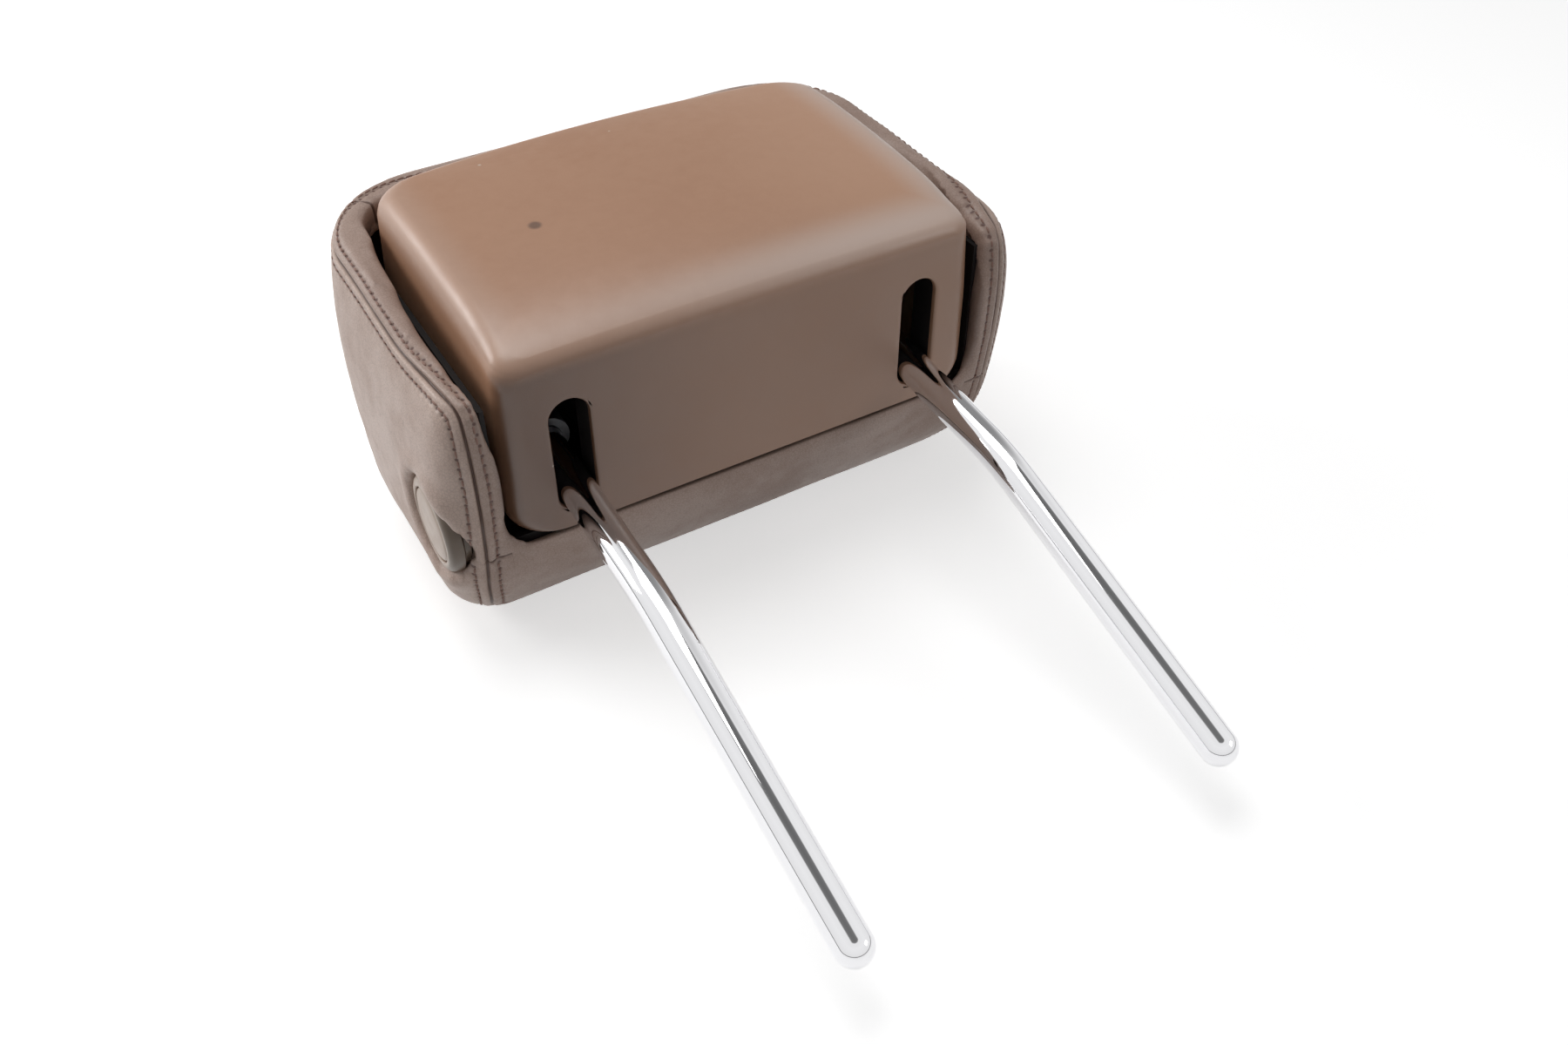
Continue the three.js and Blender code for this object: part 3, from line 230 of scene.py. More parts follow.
print("surround nodes:", len(tree.nodes))

# %% Floor and lamps
FLOOR_COLOUR = (0.70, 0.70, 0.70, 1)
FLOOR_LIFT = 0.58

floor_finish, tree = new_material("pale_floor")
diffuse = node(tree, "BsdfDiffuse", Color=FLOOR_COLOUR)
amount = times(tree, seen_directly(tree), FLOOR_LIFT)
lift = node(tree, "Emission", Color=(1, 1, 1, 1), Strength=amount)
both = node(tree, "AddShader")
feed(tree, both.inputs[0], diffuse.outputs[0])
feed(tree, both.inputs[1], lift.outputs[0])
node(tree, "OutputMaterial", Surface=both.outputs[0])

floor_shape = bmesh.new()
bmesh.ops.create_grid(floor_shape, x_segments=1, y_segments=1, size=4)
floor_mesh = bpy.data.meshes.new("floor")
floor_shape.to_mesh(floor_mesh)
floor_shape.free()
floor_mesh.materials.append(floor_finish)
floor = bpy.data.objects.new("floor", floor_mesh)
scene.collection.objects.link(floor)


def softbox(name, place, aim, size, power):
    data = bpy.data.lights.new(name, "AREA")
    data.shape = "RECTANGLE"
    data.size, data.size_y = size
    data.energy = power
    lamp = bpy.data.objects.new(name, data)
    lamp.location = place
    lamp.rotation_euler = (Vector(aim) - Vector(place)).to_track_quat("-Z", "Y").to_euler()
    scene.collection.objects.link(lamp)


softbox("key", (-1.00, 0.95, 0.68), (0, 0.05, 0.08), (0.75, 0.55), 8.6)
softbox("top", (-0.10, 0.35, 1.30), (0, 0.05, 0.08), (0.9, 0.7), 8)
softbox("front", (0.60, -0.60, 0.45), (0.05, -0.05, 0.06), (0.3, 0.2), 0.6)

# %% [markdown]
# Most of the parts are skins stretched through rings. A ring starts as a circle from bmesh, its
# points are moved to where the outline wants them, and bridging two rings makes the wall between.
# These few helpers are all that the shapes below share.

# %% Shape helpers


def outline_ring(bm, points):
    """A closed ring of points in millimetres, made from a bmesh circle."""
    made = bmesh.ops.create_circle(bm, cap_ends=False, radius=1, segments=len(points))["verts"]
    for vertex, point in zip(made, points):
        vertex.co = Vector(point) * MM
    return made


def ring_edges(ring):
    inside = set(ring)
    return list({e for v in ring for e in v.link_edges if e.other_vert(v) in inside})


def stretch_skin(bm, outlines, cap_first=True):
    """Walls between outlines that follow each other, with the ends closed."""
    rings = [outline_ring(bm, points) for points in outlines]
    edges = [ring_edges(ring) for ring in rings]
    for lower, upper in zip(edges, edges[1:]):
        bmesh.ops.bridge_loops(bm, edges=lower + upper)
    for loop in (edges[0], edges[-1]) if cap_first else edges[-1:]:
        bmesh.ops.contextual_create(bm, geom=loop)
    bmesh.ops.recalc_face_normals(bm, faces=bm.faces[:])


def to_object(bm, name, sharp_from=35):
    mesh = bpy.data.meshes.new(name)
    bm.to_mesh(mesh)
    bm.free()
    mesh.shade_smooth()
    mesh.set_sharp_from_angle(angle=math.radians(sharp_from))
    piece = bpy.data.objects.new(name, mesh)
    scene.collection.objects.link(piece)
    return piece


def apply_modifiers(piece):
    """Swaps the mesh for its evaluated form, so that no modifier stays on the piece."""
    graph = bpy.context.evaluated_depsgraph_get()
    mesh = bpy.data.meshes.new_from_object(piece.evaluated_get(graph))
    piece.modifiers.clear()
    piece.data = mesh


def lerp(a, b, t):
    return a + (b - a) * t


def eased_edge(inset, depth, height):
    """How far an elliptical rounding draws in, at a height above the face that it starts from."""
    if height >= depth:
        return 0.0
    return inset * (1 - math.sqrt(1 - ((depth - height) / depth) ** 2))


def rounded_outline(half_width, low, high, low_radius, high_radius, counts):
    """Points round a rectangle with two sizes of corner, from the middle of its lower edge."""
    on_low, on_low_corner, on_side, on_high_corner, on_high = counts
    quarter = math.pi / 2
    half = [(lerp(0, half_width - low_radius, i / on_low), low) for i in range(on_low)]
    for i in range(on_low_corner):
        turn = -quarter + quarter * i / on_low_corner
        rise = low_radius * (1 + math.sin(turn))
        half.append((half_width + low_radius * (math.cos(turn) - 1), low + rise))
    side = (low + low_radius, high - high_radius)
    half += [(half_width, lerp(*side, i / on_side)) for i in range(on_side)]
    for i in range(on_high_corner):
        turn = quarter * i / on_high_corner
        fall = high_radius * (math.sin(turn) - 1)
        half.append((half_width + high_radius * (math.cos(turn) - 1), high + fall))
    half += [(lerp(half_width - high_radius, 0, i / on_high), high) for i in range(on_high + 1)]
    return half + [(-x, y) for x, y in reversed(half[1:-1])]


print("helpers ready")

# %% [markdown]
# Three effects come up again and again on a used car part. Grain is the fine relief of leather or of
# a moulded surface: small cells with soft valleys between them. Mottle is the slow change of tone
# that years of hands and sun leave. Specks are the few pale bits of dust and dark stains. Each is a
# node group that gives back only masks, colours and heights. The shader stays in each material.

# %% Shared effects
VECTOR, FLOAT, COLOUR = "NodeSocketVector", "NodeSocketFloat", "NodeSocketColor"


def new_group(name, inputs, outputs):
    """An empty node group that takes a position and (name, kind, default) inputs."""
    group = bpy.data.node_groups.new(name, "ShaderNodeTree")
    for label, kind, default in (("Position", VECTOR, None), *inputs):
        socket = group.interface.new_socket(label, in_out="INPUT", socket_type=kind)
        if default is not None:
            socket.default_value = default
    for label, kind in outputs:
        group.interface.new_socket(label, in_out="OUTPUT", socket_type=kind)
    given, result = (group.nodes.new(kind) for kind in ("NodeGroupInput", "NodeGroupOutput"))
    return group, given.outputs, result.inputs


def effect(tree, name, position, **values):
    """Places a shared group. Its inputs are named with _ for a space."""
    made = node(tree, "Group", node_tree=bpy.data.node_groups[name])
    for key, value in {"Position": position, **values}.items():
        feed(tree, made.inputs[key.replace("_", " ")], value)
    return made.outputs


tree, given, result = new_group(
    "grain", [("Cells per metre", FLOAT, 900.0)], [("Height", FLOAT), ("Valley", FLOAT)])
warp = node(tree, "TexNoise", Vector=given["Position"], Scale=260)
shifted = vector_calc(tree, "MULTIPLY_ADD", warp.outputs["Color"], (0.0012,) * 3, given["Position"])
cells = node(tree, "TexVoronoi", feature="DISTANCE_TO_EDGE", Vector=shifted,
             Scale=given["Cells per metre"])
valley = fade(tree, cells.outputs["Distance"], 0.0, 0.16, 1.0, 0.0)
crumb = noise(tree, given["Position"], 0.5, 2.0)
feed(tree, result["Valley"], valley)
feed(tree, result["Height"], minus(tree, times(tree, crumb, 0.5), times(tree, valley, 0.5)))

tree, given, result = new_group(
    "mottle", [("Light tone", COLOUR, None), ("Dark tone", COLOUR, None), ("Amount", FLOAT, 0.5)],
    [("Tone", COLOUR), ("Cloud", FLOAT)])
broad = noise(tree, given["Position"], 46, 3.0, 0.55)
small = noise(tree, given["Position"], 7, 4.0, 0.6)
cloud = fade(tree, plus(tree, times(tree, broad, 0.65), times(tree, small, 0.35)), 0.34, 0.66)
share = times(tree, cloud, given["Amount"])
feed(tree, result["Cloud"], cloud)
feed(tree, result["Tone"], mix_colour(tree, share, given["Light tone"], given["Dark tone"]))

tree, given, result = new_group(
    "specks", [("Per metre", FLOAT, 60.0), ("Share", FLOAT, 0.3), ("Size", FLOAT, 0.05)],
    [("Mask", FLOAT)])
spots = node(tree, "TexVoronoi", Vector=given["Position"], Scale=given["Per metre"]).outputs
chance = node(tree, "SeparateColor", Color=spots["Color"]).outputs
chosen = calc(tree, "LESS_THAN", chance[0], given["Share"])
radius = times(tree, given["Size"], plus(tree, chance[1], 0.3))
within = calc(tree, "LESS_THAN", spots["Distance"], radius)
feed(tree, result["Mask"], times(tree, chosen, within))
print("groups:", [g.name for g in bpy.data.node_groups])

# %% [markdown]
# The finishes. The cover is moulded plastic in a warm brown, a little glossy, with fine grain. The
# chrome is plated tube: nearly a mirror, and its look comes from what stands round it. The inner
# parts are plain black mouldings and zinc plated steel.

# %% Start a finish
GRAIN_DEPTH = 0.05


def start_finish(name, roughness, metallic=0.0, specular=0.5):
    material, tree = new_material(name)
    shader = node(tree, "BsdfPrincipled", Roughness=roughness, Metallic=metallic,
                  Specular_IOR_Level=specular)
    node(tree, "OutputMaterial", Surface=shader.outputs[0])
    return material, tree, shader.inputs, node(tree, "TexCoord").outputs["Object"]


def relief(tree, height, strength, depth_mm):
    made = node(tree, "Bump", Strength=strength, Distance=depth_mm * MM, Height=height)
    return made.outputs[0]


def start_plastic(name, roughness, specular, tones, amount, cells, bump):
    """A moulded finish with its grain, and the mottle that its colour starts from."""
    finish, tree, shader, position = start_finish(name, roughness, specular=specular)
    light, dark = tones
    tone = effect(tree, "mottle", position, Light_tone=light, Dark_tone=dark, Amount=amount)
    grain = effect(tree, "grain", position, Cells_per_metre=cells)
    feed(tree, shader["Normal"], relief(tree, grain["Height"], bump, GRAIN_DEPTH))
    return finish, tree, shader, position, tone


print("ready to make finishes")

# %% Cover plastic
COVER_TONES = linear(176, 134, 107), linear(162, 119, 91)
# The two tones on the next line are painted shade on the lower face.
LOWER_FACE_PAINTED_SHADE, LOWER_FACE_DEEP_PAINTED_SHADE = linear(149, 112, 88), linear(96, 67, 49)
# The two tones on the next line are painted light: a lighter right side, and a paler, greyer sheen on
# the edges.
RIGHT_PAINTED_LIGHT_TONE, EDGE_PAINTED_SHEEN = linear(200, 160, 134), linear(204, 190, 182)
DUST_TONE, STAIN_TONE = linear(205, 192, 178), linear(84, 62, 50)
STAIN_PLACE, STAIN_REACH = (-54.9, 85.2, 145.5), (1.6 * MM, 3.4 * MM)
# Where a tone starts and ends to change, in metres. The lower face is painted darker as shade, and the
# painted shade is deepest at the button's side. The edges of the rear face get a painted sheen, paler
# and greyer, and the rear face is painted lighter towards the right.
SHADE_X, LOWER_FACE_Y, LOWER_FACE_Z = (-0.105, 0.015), (0.0205, 0.029), (0.126, 0.136)
# The next two lines place the painted sheen on the rear face's edges, its strength across the cover, and
# the painted light at the right.
SHEEN_EDGE_X, SHEEN_EDGE_Y, SHEEN_EDGE_Z = (0.078, 0.098), (0.044, 0.024), (0.128, 0.138)
SHEEN_STRENGTH_X, RIGHT_PAINTED_LIGHT_X = (-0.09, 0.08), (0.0, 0.095)

cover_finish, tree, shader, position, tone = start_plastic(
    "cover_plastic", 0.38, 0.78, COVER_TONES, 0.55, 1700.0, 0.35)
dust = effect(tree, "specks", position, Per_metre=70.0, Share=0.22, Size=0.045)
x, y, z = axes_of(tree, position)
# Painted shade: the lower face is coloured darker, and darkest towards the button's side.
lower_face_painted_shade = mix_colour(tree, fade(tree, x, *SHADE_X), LOWER_FACE_DEEP_PAINTED_SHADE, LOWER_FACE_PAINTED_SHADE)
lower_part = fade(tree, z, *LOWER_FACE_Z, 1.0, 0.0)
painted_shade_on_lower_face = times(tree, fade(tree, y, *LOWER_FACE_Y, 1.0, 0.0), lower_part)
# Painted sheen: the edges of the rear face are coloured paler and greyer, more towards the right.
side_sheen_edge = fade(tree, calc(tree, "ABSOLUTE", x), *SHEEN_EDGE_X)
sheen_edge = highest(tree, side_sheen_edge, fade(tree, y, *SHEEN_EDGE_Y))
sheen_strength = times(tree, fade(tree, z, *SHEEN_EDGE_Z), fade(tree, x, *SHEEN_STRENGTH_X, 0.22, 0.70))
# Painted light: the rear face is coloured lighter towards the right.
right_painted_light = mix_colour(tree, fade(tree, x, *RIGHT_PAINTED_LIGHT_X, 0.0, 0.45), tone["Tone"], RIGHT_PAINTED_LIGHT_TONE)
painted_sheen_tone = mix_colour(tree, times(tree, sheen_edge, sheen_strength), right_painted_light, EDGE_PAINTED_SHEEN)
# Painted light and shade together: the edge sheen, the lighter right side and the shaded lower face.
painted_light_and_shade_tone = mix_colour(tree, painted_shade_on_lower_face, painted_sheen_tone, lower_face_painted_shade)
from_stain = vector_calc(tree, "DISTANCE", position, Vector(STAIN_PLACE) * MM)
dusty = mix_colour(tree, times(tree, dust["Mask"], 0.7), painted_light_and_shade_tone, DUST_TONE)
stained = mix_colour(tree, fade(tree, from_stain, *STAIN_REACH, 0.75, 0.0), dusty, STAIN_TONE)
feed(tree, shader["Base Color"], stained)
feed(tree, shader["Roughness"], fade(tree, tone["Cloud"], 0.0, 1.0, 0.35, 0.43))
print("cover plastic nodes:", len(tree.nodes))

# %% [markdown]
# The button and its ring are of the same plastic in a greyer, paler tone. The leather's fold shades
# the lower side of the ring, so that side is darker, by the distance from the button's axis.

# %% Button plastic
BUTTON_Y, BUTTON_HEIGHT = 42.3, 61.7
BUTTON_TONES, RING_SHADE = (linear(186, 168, 154), linear(166, 145, 130)), linear(74, 58, 40)
RING_FROM_AXIS, RING_LOWER_Y = (0.0152, 0.0178), (0.040, 0.026)

button_finish, tree, shader, position, tone = start_plastic(
    "button_plastic", 0.36, 0.5, BUTTON_TONES, 0.7, 1700.0, 0.3)
x, y, z = axes_of(tree, position)
reach = diagonal(tree, minus(tree, y, BUTTON_Y * MM), minus(tree, z, BUTTON_HEIGHT * MM))
on_ring = times(tree, fade(tree, reach, *RING_FROM_AXIS), fade(tree, y, *RING_LOWER_Y))
button_tone = mix_colour(tree, times(tree, on_ring, 0.85), tone["Tone"], RING_SHADE)
feed(tree, shader["Base Color"], button_tone)
feed(tree, shader["Roughness"], fade(tree, tone["Cloud"], 0.0, 1.0, 0.32, 0.42))
print("button plastic nodes:", len(tree.nodes))

# %% Chrome, steel and black plastic
BLACK_TONES = linear(24, 19, 18), linear(15, 12, 12)

chrome_finish, tree, shader, position = start_finish("chrome_plate", 0.06, metallic=1.0)
stretched = node(tree, "Mapping", Vector=position, Scale=(1, 0.05, 0.05)).outputs[0]
scuffs = fade(tree, noise(tree, stretched, 0.35, 2.0), 0.62, 0.8, 0.04, 0.12)
haze = fade(tree, noise(tree, position, 9, 4.0), 0.55, 0.8, 0.0, 0.06)
feed(tree, shader["Base Color"], linear(232, 232, 234))
feed(tree, shader["Roughness"], plus(tree, scuffs, haze))

steel_finish, tree, shader, position = start_finish("zinc_steel", 0.35, metallic=1.0)
crystals = noise(tree, position, 2.2, 5.0, 0.7)
zinc = mix_colour(tree, crystals, linear(150, 152, 156), linear(196, 197, 200))
feed(tree, shader["Base Color"], zinc)
feed(tree, shader["Roughness"], fade(tree, crystals, 0.3, 0.7, 0.28, 0.45))

black_finish, tree, shader, position, tone = start_plastic(
    "black_plastic", 0.6, 0.2, BLACK_TONES, 1.0, 1400.0, 0.4)
feed(tree, shader["Base Color"], tone["Tone"])

FINISHES = {"chrome": chrome_finish, "steel": steel_finish, "black_plastic": black_finish,
            "cover_plastic": cover_finish}
slots = {row["node"]: row["material_slot"] for row in frame["record"]["subparts"]}
for name, cad_node in frame["nodes"].items():
    wanted = FINISHES.get(slots[name])
    if wanted:
        for slot in cad_node.material_slots:
            slot.material = wanted
print("finishes on CAD nodes:", {k: v.name for k, v in FINISHES.items()})

# %% [markdown]
# A headrest post is one tube, bent once. The path is two straight runs joined by an arc, and its far
# end is closed by a half ball. Circles stand square to the path, and skins are stretched between
# them. A spin would make the arc as well, but one skin along the whole path has no joints that would
# break the long reflections in the chrome.

# %% Post path
POST_X, POST_RADIUS, POST_BORE = 75, 7, 5
POST_TIP = Vector((0, -168.7, 29))
LOWER_SLOPE, UPPER_SLOPE = math.radians(16.55), math.radians(5)
BEND_RADIUS, BEND_STEPS, POST_END_Y = 120, 16, 74
FACE_Y, SLOT_FIRST_HEIGHT, SLIDE_TRAVEL = 19.3, 72.6, 34


def heading(slope):
    return Vector((0, math.cos(slope), math.sin(slope)))


def upright(slope):
    return Vector((0, -math.sin(slope), math.cos(slope)))


lower_tan, upper_tan = math.tan(LOWER_SLOPE), math.tan(UPPER_SLOPE)
corner_y = ((SLOT_FIRST_HEIGHT - upper_tan * FACE_Y - POST_TIP.z + lower_tan * POST_TIP.y)
            / (lower_tan - upper_tan))
corner = Vector((0, corner_y, SLOT_FIRST_HEIGHT + upper_tan * (corner_y - FACE_Y)))
setback = BEND_RADIUS * math.tan((LOWER_SLOPE - UPPER_SLOPE) / 2)
bend_start = corner - heading(LOWER_SLOPE) * setback
bend_centre = bend_start - upright(LOWER_SLOPE) * BEND_RADIUS
stations = [(POST_TIP, LOWER_SLOPE), (POST_TIP.lerp(bend_start, 0.5), LOWER_SLOPE)]
for step in range(BEND_STEPS + 1):
    slope = lerp(LOWER_SLOPE, UPPER_SLOPE, step / BEND_STEPS)
    stations.append((bend_centre + upright(slope) * BEND_RADIUS, slope))
post_end = corner + heading(UPPER_SLOPE) * ((POST_END_Y - corner.y) / math.cos(UPPER_SLOPE))
stations.append((post_end, UPPER_SLOPE))
print("bend at", [round(c, 1) for c in corner])

# %% Posts
POST_SIDES, BORE_DEPTH = 72, 20
TIP_DEGREES = (3, 8, 14, 21, 29, 37, 45, 53, 61, 69, 77, 84)


def circle_points(centre, slope, radius):
    up = upright(slope)
    turns = [2 * math.pi * i / POST_SIDES for i in range(POST_SIDES)]
    return [centre + Vector((radius * math.cos(t), 0, 0)) + up * radius * math.sin(t)
            for t in turns]


def make_post(side):
    outlines = []
    for degrees in TIP_DEGREES:
        turn = math.radians(degrees)
        centre = POST_TIP - heading(LOWER_SLOPE) * POST_RADIUS * math.cos(turn)
        outlines.append(circle_points(centre, LOWER_SLOPE, POST_RADIUS * math.sin(turn)))
    outlines += [circle_points(centre, slope, POST_RADIUS) for centre, slope in stations]
    for depth in (0, BORE_DEPTH):
        centre = post_end - heading(UPPER_SLOPE) * depth
        outlines.append(circle_points(centre, UPPER_SLOPE, POST_BORE))
    bm = bmesh.new()
    stretch_skin(bm, outlines)
    bmesh.ops.translate(bm, verts=bm.verts[:], vec=Vector((side * POST_X, 0, 0)) * MM)
    label = "left" if side < 0 else "right"
    post = to_object(bm, f"{label}_post_tube", 40)
    post.data.materials.append(chrome_finish)
    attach(post, "post_carriage")
    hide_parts(f"{label}_post")
    return post


posts = [make_post(side) for side in (-1, 1)]
print("post triangles:", len(posts[0].data.polygons) * 2)

# %% [markdown]
# The rear cover is a shallow moulded tub. Its rear face is a height over the plan: nearly flat, and
# it sweeps down towards the lower face where the posts enter. So the skin is stretched through the
# walls first, then over a soft rim, and then over rings that shrink towards the middle and follow
# that height. Solidify gives the wall, and two cutters leave the slots, whose edges are bevelled.

# %% Cover sizes
COVER_HALF_WIDTH, COVER_LENGTH, COVER_ARCH = 101.5, 140, 9.6
COVER_FRONT, COVER_TOP, COVER_CROWN, COVER_WALL = 57.4, 144.7, 1.2, 2.5
FRONT_CORNER, DRAFT, DRAFT_FROM = 12.5, 2.9, 42
COVER_CORNERS = (9, 17)
# Height lost at a distance above the lower face.
SWEEP = [(-6, 17), (0, 12.2), (4, 9.7), (11.5, 7), (26, 3.6), (39, 2.3), (53, 1.4), (72, 0.5),
         (88, 0.1), (108, 0.2), (124, 1.2), (134, 2.6), (142, 4.4), (150, 6.6)]
COVER_COUNTS = (26, 8, 26, 12, 26)
# The rim's radius at the lower edge, a little above it, and at the upper edge.
RIM_RADII = (3.6, 7.5, 9.0)


def softened(points, rounds=3):
    """Cuts the corners of a line of points, again and again, until it is a smooth curve."""
    for _ in range(rounds):
        middle = [(lerp(a[0], b[0], share), lerp(a[1], b[1], share))
                  for a, b in zip(points, points[1:]) for share in (0.25, 0.75)]
        points = [points[0], *middle, points[-1]]
    return points


sweep_y, sweep_drop = zip(*softened(SWEEP))


def cover_height(x, y):
    across = (x / COVER_HALF_WIDTH) ** 2
    drop = float(np.interp(y - FACE_Y, sweep_y, sweep_drop))
    return COVER_TOP - drop + COVER_CROWN * (1 - across)


def arched(plan, arch, edge):
    """Draws the corners of a plan's upper edge back by an arch, which fades out at mid-length."""
    middle = FACE_Y + COVER_LENGTH / 2
    bend = arch / COVER_HALF_WIDTH ** 2
    return [(x, y - bend * x * x * max(0, (y - middle) / (edge - middle))) for x, y in plan]


def cover_plan(side, low, high, rim=0.0):
    """The cover's outline, drawn in by an amount at its sides, lower and upper edge."""
    radii = [max(r - 0.4 * rim, 2) for r in COVER_CORNERS]
    edge = FACE_Y + COVER_LENGTH - high
    flat = rounded_outline(COVER_HALF_WIDTH - side, FACE_Y + low, edge, *radii, COVER_COUNTS)
    return arched(flat, COVER_ARCH, edge)


def rim_radius(y):
    near = min(max((y - FACE_Y) / 16, 0), 1)
    far = min(max((y - FACE_Y - 105) / 34, 0), 1)
    return lerp(lerp(*RIM_RADII[:2], near), RIM_RADII[2], far)


print("cover height in the middle:", round(cover_height(0, 90), 1))

# %% Cover skin
CORNER_LEVELS = (0, 0.5, 1.4, 2.8, 4.6, 6.8, 9.4, FRONT_CORNER)
RIM_TURNS = [math.radians(d) for d in (12, 24, 36, 48, 60, 72, 82, 90)]

cover_shape = bmesh.new()
outlines = []
for level in CORNER_LEVELS:
    corner_in = eased_edge(FRONT_CORNER, FRONT_CORNER, level)
    outlines.append([(x, y, COVER_FRONT + level) for x, y in cover_plan(corner_in, 0, 0)])
for share in np.linspace(0.12, 1, 9):
    ring = []
    for x, y in cover_plan(0, 0, 0):
        top = cover_height(x, y) - rim_radius(y)
        z = lerp(COVER_FRONT + FRONT_CORNER, top, share)
        level = z - COVER_FRONT
        draft = DRAFT * max(0, (level - DRAFT_FROM) / (COVER_TOP - COVER_FRONT - DRAFT_FROM))
        ring.append((x * (1 - draft / COVER_HALF_WIDTH), y, z))
    outlines.append(ring)
whole = cover_plan(DRAFT, 0, 0)
for turn in RIM_TURNS:
    lean, fall = 1 - math.cos(turn), 1 - math.sin(turn)
    low_rim, side_rim, high_rim = (radius * lean for radius in RIM_RADII)
    plan = cover_plan(DRAFT + side_rim, low_rim, high_rim, side_rim)
    outlines.append([(x, y, cover_height(x, y) - rim_radius(v) * fall)
                     for (x, y), (_, v) in zip(plan, whole)])
last = [(x, y) for x, y, _ in outlines[-1]]
middle_y = sum(y for _, y in last) / len(last)
for shrink in np.linspace(0.93, 0.07, 15):
    ring = [(x * shrink, lerp(middle_y, y, shrink)) for x, y in last]
    outlines.append([(x, y, cover_height(x, y)) for x, y in ring])
stretch_skin(cover_shape, outlines, cap_first=False)
cover = to_object(cover_shape, "rear_cover_skin", 40)
wall = cover.modifiers.new("wall", "SOLIDIFY")
wall.thickness = COVER_WALL * MM
wall.offset = -1
wall.use_even_offset = True
print("cover skin:", len(cover.data.polygons), "faces")

# %% Slots and notch
SLOT_RADIUS, SLOT_BEVEL = 8, 1.1
SLOT_LAST_HEIGHT = SLOT_FIRST_HEIGHT + SLIDE_TRAVEL
NOTCH_CORNERS = (-110, 36.6, 50), (-85, 52.2, 67.3)


def stadium(x, radius, low, high, y, steps=20):
    """An upright slot outline at one depth."""
    points = []
    for centre, start in ((high, 0), (low, math.pi)):
        for i in range(steps + 1):
            turn = start + math.pi * i / steps
            points.append((x + radius * math.cos(turn), y, centre + radius * math.sin(turn)))
    return points


def cut_away(piece, cutter_shape, name):
    bmesh.ops.recalc_face_normals(cutter_shape, faces=cutter_shape.faces[:])
    cutter = to_object(cutter_shape, name)
    cut = piece.modifiers.new(name, "BOOLEAN")
    cut.operation, cut.solver, cut.object = "DIFFERENCE", "EXACT", cutter
    apply_modifiers(piece)
    bpy.data.objects.remove(cutter)


def solid_box(bm, low, high):
    """A bmesh cube between two corners in millimetres."""
    low, high = Vector(low) * MM, Vector(high) * MM
    place = Matrix.Translation((low + high) / 2) @ Matrix.Diagonal((*(high - low), 1))
    bmesh.ops.create_cube(bm, size=1, matrix=place)


for side in (-1, 1):
    cutter = bmesh.new()
    slot = (side * POST_X, SLOT_RADIUS, SLOT_FIRST_HEIGHT, SLOT_LAST_HEIGHT)
    stretch_skin(cutter, [stadium(*slot, y) for y in (12, 26)])
    cut_away(cover, cutter, "slot_cutter")
notch = bmesh.new()
solid_box(notch, *NOTCH_CORNERS)
cut_away(cover, notch, "notch_cutter")

edited = bmesh.new()
edited.from_mesh(cover.data)
bmesh.ops.remove_doubles(edited, verts=edited.verts[:], dist=1e-6)


def on_slot_edge(vertex):
    x, y, z = (c / MM for c in vertex.co)
    reach = math.hypot(abs(x) - POST_X, z - min(max(z, SLOT_FIRST_HEIGHT), SLOT_LAST_HEIGHT))
    return abs(y - FACE_Y) < 0.05 and abs(reach - SLOT_RADIUS) < 0.1


slot_edges = [e for e in edited.edges if all(on_slot_edge(v) for v in e.verts)]
bmesh.ops.bevel(edited, geom=slot_edges, offset=SLOT_BEVEL * MM, segments=4, profile=0.5,
                affect="EDGES", material=-1)
edited.to_mesh(cover.data)
edited.free()
cover.data.shade_smooth()
cover.data.set_sharp_from_angle(angle=math.radians(38))
cover.data.materials.clear()
cover.data.materials.append(cover_finish)
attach(cover, "head")
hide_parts("rear_cover")
print("slot edges bevelled:", len(slot_edges))

# %% [markdown]
# Behind each slot sits a black sleeve. Its lit inner wall is what the eye meets inside the slot, so it
# is made again with a smooth wall: the same slot outline, stretched inwards, thickened outwards.

# %% Slot sleeves
LINER_START, LINER_DEPTH, LINER_INNER, LINER_WALL = 22.1, 12, 8.2, 1.8
FLANGE_RADIUS, FLANGE_WALL = 12.5, 1.5


def make_sleeve(side):
    end, flange, outer = LINER_START + LINER_DEPTH, LINER_START + FLANGE_WALL, LINER_INNER + LINER_WALL
    high = SLOT_LAST_HEIGHT + math.tan(UPPER_SLOPE) * (end - FACE_Y)
    profile = [(LINER_INNER, LINER_START), (LINER_INNER, end), (outer, end), (outer, flange),
               (FLANGE_RADIUS, flange), (FLANGE_RADIUS, LINER_START)]
    bm = bmesh.new()
    outlines = [stadium(side * POST_X, r, SLOT_FIRST_HEIGHT, high, y) for r, y in profile]
    loops = [ring_edges(outline_ring(bm, points)) for points in outlines]
    for first, second in zip(loops, loops[1:] + loops[:1]):
        bmesh.ops.bridge_loops(bm, edges=first + second)
    bmesh.ops.recalc_face_normals(bm, faces=bm.faces[:])
    label = "left" if side < 0 else "right"
    sleeve = to_object(bm, f"slot_sleeve_{label}", 40)
    sleeve.data.materials.append(black_finish)
    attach(sleeve, "head")
    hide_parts(f"slot_liner_{label}")
    return sleeve


sleeves = [make_sleeve(side) for side in (-1, 1)]
print("sleeves:", [s.name for s in sleeves])

# %% [markdown]
# The release button is a shallow round cap in a bevelled ring. Both are turned parts, so each is a
# profile spun once round the button's axis.

# %% Button and ring
BUTTON_FACE, BUTTON_RADIUS, BEZEL_RADIUS = 126.6, 14.8, 19.5


